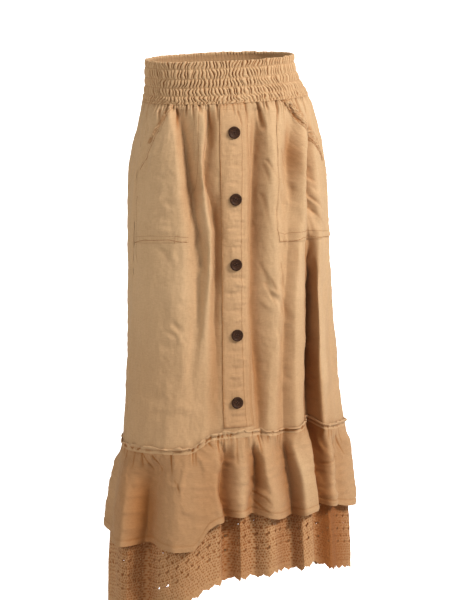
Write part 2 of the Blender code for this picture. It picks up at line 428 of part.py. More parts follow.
def button(name, u, s):
    """a dished button with four holes, lying flat on the placket"""
    import_mesh = bpy.data.meshes.new(name)
    bm = bmesh.new()
    prof = ((0.0, 0.0), (8.2, 0.0), (9.6, 0.5), (10.3, 1.7), (10.3, 2.6), (9.6, 3.7), (8.4, 4.2), (7.2, 3.9), (6.0, 2.9), (3.4, 2.4), (0.0, 2.3))
    vs = [bm.verts.new((r*MM, 0, z*MM)) for r, z in prof]
    for a, b in zip(vs[:-1], vs[1:]):
        bm.edges.new((a, b))
    bmesh.ops.spin(bm, geom=bm.verts[:] + bm.edges[:], axis=(0, 0, 1), cent=(0, 0, 0), angle=2*math.pi, steps=36, use_merge=True)
    bmesh.ops.remove_doubles(bm, verts=bm.verts[:], dist=1e-6)
    bmesh.ops.recalc_face_normals(bm, faces=bm.faces[:])
    bm.to_mesh(import_mesh); bm.free()
    import_mesh.materials.append(material("horn"))
    ob = bpy.data.objects.new(name, import_mesh)
    bpy.context.collection.objects.link(ob)
    at = skin("body", np.array([u]), np.array([float(s)]), 0.0)[0]
    up = skin("body", np.array([u]), np.array([float(s)]), 1.0)[0] - at
    ob.parent = HOLD
    ob.location = Vector(at + up*BUTTON_OFF)*MM
    ob.rotation_euler = Vector(up).to_track_quat('Z', 'Y').to_euler()
    holes = bmesh.new()
    for x, y in ((1.7, 1.7), (-1.7, 1.7), (-1.7, -1.7), (1.7, -1.7)):
        bmesh.ops.create_cone(holes, cap_ends=True, segments=12, radius1=1.05*MM, radius2=1.05*MM, depth=12*MM,
                              matrix=Matrix.Translation((x*MM, y*MM, 0)))
    hm = bpy.data.meshes.new(name + "_drill"); holes.to_mesh(hm); holes.free()
    drill = bpy.data.objects.new(name + "_drill", hm)
    bpy.context.collection.objects.link(drill)
    bool_mod = ob.modifiers.new("holes", 'BOOLEAN'); bool_mod.operation = 'DIFFERENCE'; bool_mod.solver = 'EXACT'; bool_mod.object = drill
    drill.parent = ob
    bpy.context.view_layer.update()
    dg = bpy.context.evaluated_depsgraph_get()
    done = bpy.data.meshes.new_from_object(ob.evaluated_get(dg))
    ob.modifiers.clear(); ob.data = done
    bpy.data.objects.remove(drill, do_unlink=True)
    return ob


BUTTON_OFF = WALL/2 + GAP + WALL + 0.75


def main():
    u, s = panel_grid()
    rows, cols = u.shape
    left, middle, right = column_of("left_seam"), column_of("placket_crown"), column_of("right_seam")
    for name, a, b in (("front_panel_left", left, middle), ("front_panel_right", middle, right), ("back_panel", right, left + cols)):
        cu, cs = part_of(u, s, a, b, 0, 0)
        lo = skin("body", cu, cs, -WALL/2).reshape(-1, 3); hi = skin("body", cu, cs, WALL/2).reshape(-1, 3)
        shell(name, lo, hi, grid_tris(rows, b - a + 1), "cloth")

    # the sheet that the sewn-on pieces are made from: the two front panels' own nodes
    a, b = left, right
    fu, fs = u[:, a:b+1], s[:, a:b+1]
    mid = skin("body", fu, fs, 0.0); out = skin("body", fu, fs, 1.0) - mid
    nodes = np.concatenate([fu[..., None], fs[..., None], mid, out], -1).reshape(-1, 8)
    tris = grid_tris(rows, b - a + 1)
    low, high = WALL/2 + GAP, WALL/2 + GAP + WALL
    sewn_on("pocket_left", nodes, tris, POCKET_LEFT, low, high)
    sewn_on("pocket_right", nodes, tris, POCKET_RIGHT, low, high)
    sewn_on("pocket_trim_left", nodes, tris, TRIM_LEFT, low, high + 1.2)
    sewn_on("pocket_trim_right", nodes, tris, TRIM_RIGHT, low, high + 1.2)

    a, b = column_of("placket_side"), column_of("placket_edge")
    pu, ps = u[:-1, a:b+1], s[:-1, a:b+1].copy()
    ps[0] += 0.4
    shell("placket", skin("body", pu, ps, low).reshape(-1, 3), skin("body", pu, ps, high).reshape(-1, 3), grid_tris(rows - 1, b - a + 1), "cloth")
    for name, bu, bs in BUTTONS:
        button(name, bu, bs)

    # waistband: a ring with five shirred channels
    bu = turns_at(BODY_TOP)
    rows_b = ((BAND_TOP, -0.2), (0.0, -0.5), (28.0, 0.3), (BAND_END, -0.5))      # down, how far out
    U = np.stack([bu]*len(rows_b)); S = np.stack([np.full(cols, r[0]) for r in rows_b]); O = np.stack([np.full(cols, r[1]) for r in rows_b])
    shell("waistband", skin("body", U, S, O - BAND_WALL/2).reshape(-1, 3), skin("body", U, S, O + BAND_WALL/2).reshape(-1, 3),
          grid_tris(len(rows_b), cols, True), "cloth_band")

    # flounce and lace: rows follow the seam and the hems
    cu = turns_at(640.0)
    seam, hem, end = round_line(SEAM, cu), round_line(HEM, cu), round_line(LACE_HEM, cu)
    over = WALL + GAP + 0.1
    flounce = [seam - FRILL, seam + BODY_UNDER + GAP, seam + 32, seam + 66, hem]
    tier = [seam + BODY_UNDER + GAP, seam + 32, seam + 66, hem, end]
    point = np.where(np.arange(cols) % 2 == 0, 4.0, -4.0)
    tier[-1] = tier[-1] + point
    for kind, rows_f, off, names, mat in (("ruffle", flounce, over, ("flounce_front", "flounce_back"), "cloth"), ("lace", tier, LACE_SINK, ("lace_front", "lace_back"), "lace")):
        fu = np.stack([cu]*len(rows_f)); fs = np.stack(rows_f)
        for name, a, b in ((names[0], left, right), (names[1], right, left + cols)):
            pu, ps = part_of(fu, fs, a, b, 0, 0)
            shell(name, skin(kind, pu, ps, off - WALL/2).reshape(-1, 3), skin(kind, pu, ps, off + WALL/2).reshape(-1, 3),
                  grid_tris(len(rows_f), b - a + 1), mat)


for ob in list(bpy.data.objects):
    bpy.data.objects.remove(ob, do_unlink=True)
HOLD = bpy.data.objects.new("waist_hold", None)      # the middle of the waist's opening
bpy.context.collection.objects.link(HOLD)
main()
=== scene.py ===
"""The look of the maxi skirt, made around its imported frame.

The cloth is laid out in the same two numbers as the solids: how far down the cloth, and what share of the way round.
"""
import bpy
import bmesh
import json
from mathutils import Matrix, Vector
from mathutils.bvhtree import BVHTree

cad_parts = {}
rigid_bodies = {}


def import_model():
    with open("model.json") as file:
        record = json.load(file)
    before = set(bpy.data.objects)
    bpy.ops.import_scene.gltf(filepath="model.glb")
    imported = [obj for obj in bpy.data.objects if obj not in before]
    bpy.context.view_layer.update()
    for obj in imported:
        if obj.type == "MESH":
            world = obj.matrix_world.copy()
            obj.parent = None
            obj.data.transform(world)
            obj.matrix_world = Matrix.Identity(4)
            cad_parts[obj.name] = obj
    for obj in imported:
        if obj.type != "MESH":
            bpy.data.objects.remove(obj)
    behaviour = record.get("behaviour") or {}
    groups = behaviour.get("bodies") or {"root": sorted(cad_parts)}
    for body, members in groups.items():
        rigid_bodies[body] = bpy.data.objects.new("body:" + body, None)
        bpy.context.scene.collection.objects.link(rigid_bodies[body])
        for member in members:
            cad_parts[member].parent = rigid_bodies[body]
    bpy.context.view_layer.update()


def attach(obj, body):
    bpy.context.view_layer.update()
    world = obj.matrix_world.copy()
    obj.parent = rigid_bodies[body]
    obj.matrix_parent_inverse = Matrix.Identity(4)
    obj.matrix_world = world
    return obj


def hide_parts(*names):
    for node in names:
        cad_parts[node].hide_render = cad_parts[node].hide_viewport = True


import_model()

import math
import numpy as np

# The skirt is described on a grid of two numbers.
#   down : millimetres down the cloth from the top row of shirring stitches
#   turn : share of the way round from the centre front, + towards +X (-0.5 to 0.5)
# Lengths are in millimetres here, and in metres in the meshes.

# ---------------------------------------------------------------- the form
# columns: down, centre_x, centre_y, half_width, half_depth, twist (degrees),
#          squareness, rise_per_x, rise_per_y
SECTIONS = (
    (-14,   0,  0, 127,  94,  0, 2.10, 0.045, 0.060),
    (0,     0,  0, 128,  95,  0, 2.10, 0.045, 0.060),
    (30,    5,  2, 133,  99,  0, 2.10, 0.045, 0.055),
    (55,   11,  4, 143, 105,  1, 2.10, 0.043, 0.050),
    (75,   12,  6, 150, 110,  2, 2.10, 0.040, 0.045),
    (120,  12,  9, 162, 117,  3, 2.10, 0.038, 0.040),
    (190,  14, 12, 174, 124,  5, 2.10, 0.034, 0.030),
    (300,  18, 16, 183, 130,  9, 2.08, 0.028, 0.020),
    (450,  24, 20, 190, 139, 13, 2.06, 0.024, 0.012),
    (600,  30, 24, 208, 150, 17, 2.04, 0.020, 0.006),
    (680,  33, 26, 220, 157, 19, 2.02, 0.020, 0.004),
    (750,  31, 28, 232, 165, 20, 2.02, 0.020, 0.002),
    (860,  30, 30, 245, 176, 21, 2.02, 0.020, 0.000),
    (1010, 30, 30, 250, 182, 21, 2.02, 0.020, 0.000),
    (1060, 30, 30, 251, 183, 21, 2.02, 0.020, 0.000),
)
FRONT_X = 3.0            # where the centre front meets every section

# The body's crests and troughs, each a line down the cloth.
# columns of each row: down, turn, out (how far it stands out), over (how far it leans sideways)
BODY_FOLDS = (
    ("left_seam",       ((60, -0.203, 0, 0), (300, -0.203, 1, 0), (640, -0.203, 1, 0))),
    ("left_swell",      ((75, -0.185, 2, 0), (135, -0.178, 2, 0), (215, -0.168, 2, 0), (390, -0.157, 3, 0), (640, -0.149, 3, 0))),
    ("left_ridge",      ((60, -0.146, 4, 0), (91, -0.1295, 7, 0), (115, -0.1191, 9, 0), (140, -0.1144, 10, 0), (190, -0.1073, 10, 0), (241, -0.1050, 9, 0), (300, -0.0985, 8, 0), (369, -0.0950, 7, 0), (472, -0.0925, 6, 0), (640, -0.098, 5, 0))),
    ("left_trough",     ((60, -0.127, -5, 0), (70, -0.1215, -8, -1), (92, -0.1120, -12, -2), (117, -0.1023, -12, -2), (142, -0.0975, -12, -2), (167, -0.0912, -11, -2), (193, -0.0848, -12, -2), (243, -0.0742, -10, -2), (277, -0.0680, -9, -1), (337, -0.0671, -6, 0), (388, -0.0701, -3, 0), (439, -0.0760, 0, 0), (508, -0.0780, 2, 0), (640, -0.078, 3, 0))),
    ("inner_ridge",     ((60, -0.0760, 2, 0), (91, -0.0700, 8, 3), (116, -0.0724, 10, 4), (141, -0.0735, 11, 5), (166, -0.0714, 11, 5), (191, -0.0680, 11, 5), (217, -0.0645, 10, 4), (242, -0.0602, 9, 3), (276, -0.0546, 9, 3), (326, -0.0538, 8, 3), (369, -0.0559, 7, 3), (421, -0.0587, 5, 2), (473, -0.0604, 4, 1), (542, -0.0600, 2, 0), (640, -0.057, 1, 0))),
    ("placket_trough",  ((60, -0.064, -4, 0), (71, -0.0614, -8, -1), (93, -0.0590, -12, -2), (118, -0.0574, -11, -2), (143, -0.0600, -9, -3), (168, -0.0590, -8, -3), (193, -0.0560, -8, -3), (219, -0.0490, -10, -2), (245, -0.0430, -12, -2), (279, -0.0390, -11, -2), (330, -0.0390, -11, -2), (373, -0.0397, -10, -2), (424, -0.0399, -9, -2), (476, -0.0392, -6, -1), (519, -0.0380, -3, 0), (561, -0.0370, -1, 0), (640, -0.037, 0, 0))),
    ("placket_side",    ((60, -0.0378, 3, 0), (115, -0.0366, 3, 0), (175, -0.0345, 2, 0), (215, -0.0325, -1, 0), (290, -0.0305, -3, 0), (390, -0.0300, -2, 0), (490, -0.0303, 0, 0), (560, -0.0300, 0, 0), (640, -0.0260, 0, 0))),
    ("placket_crown",   ((65, -0.007, 3, 0), (135, -0.006, 5, 0), (250, -0.003, 5, 0), (390, -0.002, 5, 0), (490, -0.002, 4, 0), (640, 0.000, 2, 0))),
    ("placket_edge",    ((65, 0.0180, 0, 0), (120, 0.0170, 0, 1), (220, 0.0150, 0, 2), (325, 0.0138, 0, 2), (425, 0.0135, 0, 2), (510, 0.0150, 0, 1), (566, 0.0165, 0, 0), (640, 0.0215, 0, 0))),
    ("right_trough",    ((60, 0.046, -4, 0), (75, 0.0450, -8, -1), (97, 0.0427, -12, -2), (122, 0.0390, -15, -2), (147, 0.0365, -16, -3), (173, 0.0342, -16, -3), (224, 0.0318, -16, -3), (275, 0.0298, -16, -3), (344, 0.0268, -15, -3), (413, 0.0268, -14, -3), (465, 0.0273, -13, -2), (518, 0.0310, -11, -2), (561, 0.0300, -9, -1), (640, 0.030, -4, 0))),
    ("right_slope",     ((60, 0.062, 1, 0), (97, 0.0585, 4, 1), (147, 0.0560, 8, 1), (223, 0.0522, 9, 1), (309, 0.0525, 9, 1), (395, 0.0563, 9, 1), (482, 0.0535, 9, 1), (551, 0.0455, 7, 1), (640, 0.040, 4, 0))),
    ("right_ridge",     ((60, 0.069, 4, 0), (97, 0.0685, 7, 0), (147, 0.0640, 11, 0), (223, 0.0600, 12, 0), (309, 0.0610, 12, 0), (396, 0.0645, 12, 0), (482, 0.0610, 11, 0), (552, 0.0530, 9, 0), (640, 0.048, 6, 0))),
    ("right_hollow",    ((60, 0.127, -2, 0), (80, 0.1268, -6, 0), (103, 0.1260, -10, 0), (128, 0.1190, -13, 0), (154, 0.1060, -12, 0), (180, 0.1030, -11, 0), (205, 0.1005, -7, 0), (255, 0.0955, -3, 0), (316, 0.0930, -1, 0), (385, 0.0840, 1, 0), (455, 0.0800, 1, 0), (525, 0.0750, -1, 0), (640, 0.070, -3, 0))),
    ("drag_ridge",      ((60, 0.156, 1, 0), (104, 0.1500, 4, 1), (129, 0.1394, 8, 3), (153, 0.1261, 11, 4), (204, 0.1187, 12, 5), (255, 0.1154, 12, 5), (290, 0.1085, 12, 5), (315, 0.1030, 13, 6), (384, 0.0920, 15, 8), (453, 0.0868, 15, 8), (523, 0.0845, 15, 8), (576, 0.0814, 15, 8), (640, 0.0806, 14, 8))),
    ("deep_valley",     ((60, 0.176, 0, 0), (109, 0.1740, -3, -1), (134, 0.1680, -6, -2), (158, 0.1590, -12, -3), (184, 0.1530, -17, -3), (209, 0.1490, -13, -2), (261, 0.1470, -6, 0), (298, 0.1500, -10, 4), (325, 0.1514, -16, 8), (362, 0.1538, -22, 13), (399, 0.1533, -26, 16), (471, 0.1492, -29, 17), (543, 0.1408, -31, 17), (616, 0.1343, -32, 17), (654, 0.1356, -32, 17))),
    ("right_lobe",      ((60, 0.192, 1, 0), (159, 0.1765, 3, 0), (211, 0.1750, 5, 0), (264, 0.1765, 5, -2), (325, 0.1735, 6, -5), (394, 0.1625, 10, -8), (465, 0.1605, 12, -8), (537, 0.1545, 10, -5), (611, 0.1535, 9, -3), (649, 0.1540, 9, -3))),
    ("right_soft_dip",  ((60, 0.212, 0, 0), (300, 0.207, 3, 0), (640, 0.203, 3, 0))),
    ("right_seam",      ((60, 0.240, 3, 0), (175, 0.240, 6, 0), (430, 0.240, 6, 0), (640, 0.240, 6, 0))),
    ("back_dip_1",      ((60, 0.272, -2, 0), (150, 0.276, -4, 0), (300, 0.280, -5, 0), (470, 0.284, -8, 0), (640, 0.288, -9, 0))),
    ("back_ridge_1",    ((60, 0.305, 3, 0), (200, 0.312, 5, 0), (400, 0.318, 7, 2), (640, 0.322, 9, 2))),
    ("back_dip_2",      ((60, 0.335, -3, 0), (180, 0.345, -7, 0), (360, 0.352, -9, 0), (520, 0.355, -12, -2), (640, 0.358, -12, -2))),
    ("back_ridge_2",    ((60, 0.372, 2, 0), (220, 0.385, 5, 0), (420, 0.392, 8, 0), (640, 0.395, 9, 0))),
    ("back_dip_3",      ((60, 0.405, -2, 0), (160, 0.418, -6, 0), (330, 0.430, -5, 0), (450, 0.435, -3, 0), (640, 0.437, -6, 0))),
    ("back_ridge_3",    ((60, 0.440, 3, 0), (240, 0.462, 6, 0), (430, 0.470, 6, -2), (640, 0.475, 8, -3))),
    ("back_dip_4",      ((60, 0.482, -4, 0), (150, 0.500, -8, 0), (300, 0.508, -10, 0), (460, 0.512, -13, 2), (640, 0.515, -14, 3))),
    ("back_ridge_4",    ((60, 0.525, 3, 0), (200, 0.540, 6, 0), (400, 0.548, 9, 0), (640, 0.552, 10, 0))),
    ("back_dip_5",      ((60, 0.562, -2, 0), (170, 0.575, -5, 0), (340, 0.580, -4, 0), (500, 0.585, -7, 0), (640, 0.588, -9, 0))),
    ("back_ridge_5",    ((60, 0.600, 2, 0), (210, 0.612, 5, 0), (420, 0.620, 6, 0), (640, 0.625, 8, 0))),
    ("back_dip_6",      ((60, 0.640, -3, 0), (180, 0.652, -7, 0), (380, 0.660, -9, 0), (640, 0.665, -11, 0))),
    ("back_ridge_6",    ((60, 0.680, 2, 0), (230, 0.692, 4, 0), (430, 0.700, 6, 0), (640, 0.705, 8, 0))),
    ("back_dip_7",      ((60, 0.735, -1, 0), (140, 0.748, -3, 0), (200, 0.757, -2, 0), (400, 0.758, -1, 0), (640, 0.760, -3, 0))),
)
# the flounce's crests and troughs below its seam, the same columns
RUFFLE_FOLDS = (
    ("flute_1",         ((656, -0.1760, 3, 0), (701, -0.1725, 9, 0), (750, -0.1680, 14, 0), (830, -0.164, 17, 0))),
    ("dip_1",           ((648, -0.1312, -3, 0), (661, -0.1285, -9, 0), (698, -0.1343, -16, 0), (726, -0.1425, -20, 0), (753, -0.1440, -22, 0), (830, -0.1455, -22, 0))),
    ("flute_2",         ((642, -0.0890, 3, 0), (687, -0.0880, 8, 0), (737, -0.0870, 12, 0), (830, -0.086, 15, 0))),
    ("flute_2_edge",    ((629, -0.0440, 3, 1), (654, -0.0425, 8, 4), (688, -0.0477, 10, 7), (713, -0.0484, 11, 8), (740, -0.0441, 11, 7), (766, -0.0385, 10, 6), (830, -0.0379, 9, 6))),
    ("dip_2",           ((632, -0.0299, -3, 0), (661, -0.0230, -12, -4), (697, -0.0265, -16, -5), (723, -0.0286, -18, -5), (750, -0.0244, -18, -5), (777, -0.0200, -17, -4), (830, -0.0170, -15, -4))),
    ("flute_3",         ((633, -0.0020, 3, 0), (667, -0.0030, 5, 0), (702, -0.0015, 6, 0), (737, -0.0030, 5, 0), (830, -0.0030, 4, 0))),
    ("dip_3",           ((637, 0.0139, -4, 0), (676, 0.0235, -13, 0), (712, 0.0232, -15, 0), (745, 0.0180, -15, 0), (830, 0.0170, -13, 0))),
    ("flute_4",         ((636, 0.0290, 5, 0), (671, 0.0345, 11, -3), (706, 0.0375, 14, -4), (742, 0.0425, 16, -4), (830, 0.0445, 16, -4))),
    ("dip_4",           ((648, 0.0690, -8, 1), (688, 0.0755, -13, 5), (727, 0.0790, -15, 6), (764, 0.0800, -15, 6), (830, 0.0790, -15, 6))),
    ("flute_5",         ((648, 0.0815, 10, -2), (685, 0.0885, 13, -3), (720, 0.0905, 16, 0), (757, 0.0920, 16, 0), (830, 0.0915, 16, 0))),
    ("flute_5_edge",    ((650, 0.0965, 11, 6), (687, 0.0990, 14, 9), (724, 0.0990, 15, 10), (761, 0.1010, 16, 10), (830, 0.1005, 16, 10))),
    ("dip_5",           ((660, 0.1340, -28, 13), (708, 0.1340, -22, 11), (745, 0.1325, -19, 9), (830, 0.1330, -17, 8))),
    ("flute_6",         ((666, 0.1625, 11, -6), (703, 0.1610, 12, -5), (741, 0.1585, 12, -5), (830, 0.1565, 12, -5))),
    ("dip_6",        ((640, 0.185, 0, 0), (720, 0.185, -5, 0), (830, 0.185, -6, 0))),
    ("flute_7",      ((640, 0.228, 5, 0), (690, 0.226, 15, 0), (760, 0.226, 15, 0), (830, 0.226, 15, 0))),
    ("dip_7",        ((640, 0.266, -2, 0), (720, 0.266, -11, 0), (830, 0.264, -15, 0))),
    ("flute_8",      ((640, 0.296, 2, 0), (720, 0.298, 11, 3), (830, 0.298, 15, 4))),
    ("dip_8",        ((640, 0.328, -3, 0), (720, 0.332, -12, -2), (830, 0.334, -16, -3))),
    ("flute_9",      ((640, 0.366, 3, 0), (720, 0.368, 12, 0), (830, 0.370, 15, 0))),
    ("dip_9",        ((640, 0.402, -2, 0), (720, 0.400, -9, 0), (830, 0.400, -12, 0))),
    ("flute_10",     ((640, 0.438, 2, 0), (720, 0.436, 11, -2), (830, 0.438, 14, -3))),
    ("dip_10",       ((640, 0.474, -3, 0), (720, 0.472, -13, 2), (830, 0.470, -17, 3))),
    ("flute_11",     ((640, 0.512, 2, 0), (720, 0.514, 10, 0), (830, 0.515, 14, 0))),
    ("dip_11",       ((640, 0.552, -2, 0), (720, 0.554, -10, 0), (830, 0.556, -13, 0))),
    ("flute_12",     ((640, 0.588, 3, 0), (720, 0.590, 12, 2), (830, 0.592, 15, 3))),
    ("dip_12",       ((640, 0.626, -2, 0), (720, 0.630, -12, -2), (830, 0.632, -16, -3))),
    ("flute_13",     ((640, 0.664, 2, 0), (720, 0.666, 10, 0), (830, 0.668, 13, 0))),
    ("dip_13",       ((640, 0.702, -2, 0), (720, 0.704, -9, 0), (830, 0.706, -12, 0))),
    ("flute_14",     ((640, 0.738, 2, 0), (720, 0.740, 9, 0), (830, 0.742, 12, 0))),
    ("dip_14",       ((640, 0.780, 0, 0), (720, 0.778, -2, 0), (830, 0.776, -3, 0))),
)
# edges that run round the cloth: turn, down
SEAM = ((-0.217, 662), (-0.157, 654), (-0.124, 650), (-0.078, 648), (-0.062, 638), (-0.045, 626), (-0.003, 624),
        (0.026, 625), (0.064, 629), (0.092, 627), (0.138, 631), (0.153, 640), (0.222, 659), (0.244, 663), (0.275, 668), (0.36, 656), (0.50, 650), (0.64, 658), (0.745, 674))
HEM = ((-0.208, 826), (-0.157, 822), (-0.124, 816), (-0.102, 819), (-0.071, 817), (-0.0627, 804), (-0.052, 780),
       (-0.038, 772), (0.001, 768), (0.024, 771), (0.041, 776), (0.080, 787), (0.100, 783), (0.135, 785), (0.160, 792), (0.210, 815), (0.240, 822), (0.35, 812), (0.50, 808), (0.65, 818))
LACE_HEM = ((-0.20, 958), (-0.13, 950), (-0.090, 925), (-0.065, 901), (-0.050, 888), (-0.025, 883), (0.026, 884), (0.045, 878),
            (0.083, 889), (0.103, 881), (0.154, 912), (0.223, 943), (0.240, 949), (0.33, 984), (0.42, 1004), (0.50, 1018), (0.58, 1020), (0.66, 1010), (0.73, 985))


def ease(x, y, q):
    """Smooth curve through the columns of y at x, read at q; level at every crest."""
    x = np.asarray(x, float); y = np.asarray(y, float); q = np.clip(np.asarray(q, float), x[0], x[-1])
    h = np.diff(x); d = np.diff(y, axis=0) / h[:, None]
    m = np.zeros_like(y)
    for k in range(1, len(x) - 1):
        a, b = d[k-1], d[k]; w1 = 2*h[k] + h[k-1]; w2 = h[k] + 2*h[k-1]
        same = a*b > 0
        m[k] = np.where(same, (w1 + w2) / (w1/np.where(same, a, 1) + w2/np.where(same, b, 1)), 0)
    m[0] = d[0]; m[-1] = d[-1]
    i = np.clip(np.searchsorted(x, q, side='right') - 1, 0, len(x) - 2)
    t = ((q - x[i]) / h[i])[:, None]; H = h[i][:, None]
    return ((1+2*t)*(1-t)**2*y[i] + t*(1-t)**2*H*m[i] + t*t*(3-2*t)*y[i+1] + t*t*(t-1)*H*m[i+1])


def round_line(table, u):
    """down of an edge at each turn, the same at both ends of the circle"""
    x = [a for a, b in table]; y = [[b] for a, b in table]
    x = [x[-1] - 1] + x + [x[0] + 1]; y = [y[-1]] + y + [y[0]]
    q = np.mod(np.asarray(u, float) - x[1], 1.0) + x[1]
    return ease(x, y, q.ravel())[:, 0].reshape(q.shape)


ROWS, COLS = 129, 1440
ROW_AT = np.linspace(SECTIONS[0][0], SECTIONS[-1][0], ROWS)


def form_tables():
    """the smooth form without folds: a point and an outward direction at every row and column, and each row's girth"""
    v = ease([r[0] for r in SECTIONS], [r[1:] for r in SECTIONS], ROW_AT)
    P = np.zeros((ROWS, COLS+1, 3)); N = np.zeros((ROWS, COLS+1, 2)); G = np.zeros(ROWS)
    th = np.linspace(-math.pi, math.pi, 5761)
    for k, s in enumerate(ROW_AT):
        cx, cy, a, b, tw, n, lx, ly = v[k]
        sx = np.sign(np.sin(th))*np.abs(np.sin(th))**(2/n)*a
        sy = -np.sign(np.cos(th))*np.abs(np.cos(th))**(2/n)*b
        t = math.radians(tw)
        x = cx + sx*math.cos(t) - sy*math.sin(t); y = cy + sx*math.sin(t) + sy*math.cos(t)
        f0 = np.where((x[:-1] <= FRONT_X) & (x[1:] > FRONT_X) & (y[:-1] < cy))[0][0]
        x = np.append(np.roll(x[:-1], -f0), x[f0]); y = np.append(np.roll(y[:-1], -f0), y[f0])
        c = np.append(0, np.cumsum(np.hypot(np.diff(x), np.diff(y)))); G[k] = c[-1]
        start = (FRONT_X - x[0])/(x[1] - x[0])*c[1]
        u = np.mod(np.linspace(0, 1, COLS+1)*c[-1] + start, c[-1])
        X = np.interp(u, c, x); Y = np.interp(u, c, y)
        tx = np.roll(X[:-1], -1) - np.roll(X[:-1], 1); ty = np.roll(Y[:-1], -1) - np.roll(Y[:-1], 1)
        tx = np.append(tx, tx[0]); ty = np.append(ty, ty[0]); ln = np.hypot(tx, ty)
        P[k, :, 0] = X; P[k, :, 1] = Y; P[k, :, 2] = -s + lx*(X-cx) + ly*(Y-cy)
        N[k, :, 0] = ty/ln; N[k, :, 1] = -tx/ln
    return P, N, G


FORM_P, FORM_N, GIRTH = form_tables()
FORM = np.concatenate([FORM_P, FORM_N, np.repeat(GIRTH[:, None, None], COLS+1, 1)], 2)


def form_at(u, s):
    """point (3), outward (2) and girth (1) of the smooth form, any arrays of turn and down"""
    u = np.mod(u, 1.0)*COLS; i = np.minimum(u.astype(int), COLS-1); a = (u - i)[..., None]
    f = np.clip((s - ROW_AT[0])/(ROW_AT[1] - ROW_AT[0]), 0, ROWS - 1 - 1e-9); j = f.astype(int); b = (f - j)[..., None]
    def row(k):
        k = np.clip(k, 0, ROWS-1)
        return FORM[k, i]*(1-a) + FORM[k, i+1]*a
    p0, p1, p2, p3 = row(j-1), row(j), row(j+1), row(j+2)
    return 0.5*(2*p1 + (p2-p0)*b + (2*p0 - 5*p1 + 4*p2 - p3)*b**2 + (3*p1 - p0 - 3*p2 + p3)*b**3)


def folds_at(table, u, s):
    """how far folds stand out and lean over, at any turn and down"""
    shape = u.shape; u = u.ravel(); s = s.ravel()
    lines = [ease([p[0] for p in pts], [p[1:] for p in pts], s) for _, pts in table]
    A = np.stack(lines, 0)                                   # lines, points, (turn, out, over)
    first = A[0, :, 0]
    A = np.concatenate([A[-2:] - [1, 0, 0], A, A[:2] + [1, 0, 0], A[2:3] + [1, 0, 0]], 0)
    q = np.mod(u - first, 1.0) + first
    k = np.clip((A[:, :, 0] <= q[None]).sum(0) - 1, 1, len(A) - 3)
    n = np.arange(len(q))
    x0, x1, x2, x3 = A[k-1, n, 0], A[k, n, 0], A[k+1, n, 0], A[k+2, n, 0]
    h0, h1, h2 = x1-x0, np.maximum(x2-x1, 1e-6), x3-x2
    t = np.clip((q-x1)/h1, 0, 1)[:, None]
    def slope(a, b, ha, hb):
        w1 = 2*hb + ha; w2 = hb + 2*ha; same = a*b > 0
        return np.where(same, (w1+w2)[:, None]/(w1[:, None]/np.where(same, a, 1) + w2[:, None]/np.where(same, b, 1)), 0)
    y0, y1, y2, y3 = (A[k+d, n, 1:] for d in (-1, 0, 1, 2))
    d0, d1, d2 = (y1-y0)/np.maximum(h0, 1e-6)[:, None], (y2-y1)/h1[:, None], (y3-y2)/np.maximum(h2, 1e-6)[:, None]
    m1 = slope(d0, d1, h0, h1); m2 = slope(d1, d2, h1, h2); H = h1[:, None]
    v = (1+2*t)*(1-t)**2*y1 + t*(1-t)**2*H*m1 + t*t*(3-2*t)*y2 + t*t*(t-1)*H*m2
    return v.reshape(shape + (2,))


def step(x):
    x = np.clip(x, 0, 1)
    return x*x*(3 - 2*x)


BLEND_FROM, BLEND_OVER = 4.0, 32.0     # below the seam, body folds turn into flutes
LACE_IN, LACE_KEEP = 8.0, 0.8          # the lace hangs inside the flounce, with calmer flutes


def layer(kind, u, s):
    """the middle of a layer of cloth, in millimetres"""
    u = np.asarray(u, float); s = np.asarray(s, float)
    u, s = np.broadcast_arrays(u, s)
    base = form_at(u, s)
    body = folds_at(BODY_FOLDS, u, np.minimum(s, 660.0))
    top = step((s - 57.5)/16.0)[..., None]        # the waistband carries none of the folds
    body = body*top
    if kind == "body":
        f = body
    else:
        w = step((s - round_line(SEAM, u) - BLEND_FROM)/BLEND_OVER)[..., None]
        r = folds_at(RUFFLE_FOLDS, u, s)
        if kind == "lace":
            r = r*[LACE_KEEP, LACE_KEEP] - [LACE_IN, 0]
        f = body*(1-w) + r*w
    P = base[..., :3].copy()
    n = base[..., 3:5]
    P[..., 0] += n[..., 0]*f[..., 0] - n[..., 1]*f[..., 1]
    P[..., 1] += n[..., 1]*f[..., 0] + n[..., 0]*f[..., 1]
    return P


def skin(kind, u, s, off=0.0, e=1.0):
    """a point off the middle of a layer, along its own outward direction"""
    u = np.asarray(u, float); s = np.asarray(s, float)
    u, s = np.broadcast_arrays(u, s)
    du = e/1100.0
    P = layer(kind, u, s)
    a = layer(kind, u + du, s) - layer(kind, u - du, s)
    b = layer(kind, u, s + e) - layer(kind, u, s - e)
    n = np.cross(b, a)
    n /= np.linalg.norm(n, axis=-1, keepdims=True)
    return P + n*np.asarray(off, float)[..., None] if np.ndim(off) else P + n*off

MM = 0.001
FINE = 1.0               # larger is finer on the flounce

# ================================================================ fine shape of the cloth
BUTTONS = (              # turn, down, how the button is turned on its thread, degrees
    ("button_1", -0.0096, 106, 12), ("button_2", -0.0078, 218, 55), ("button_3", -0.0075, 329, 28),
    ("button_4", -0.0068, 450, 70), ("button_5", -0.0075, 567, 40))
SHIRR_ROWS = (0.0, 16.5, 31.0, 44.5, 54.0)       # stitched rows of the waistband, down
BAND_TOP, BAND_END = -10.5, 57.0

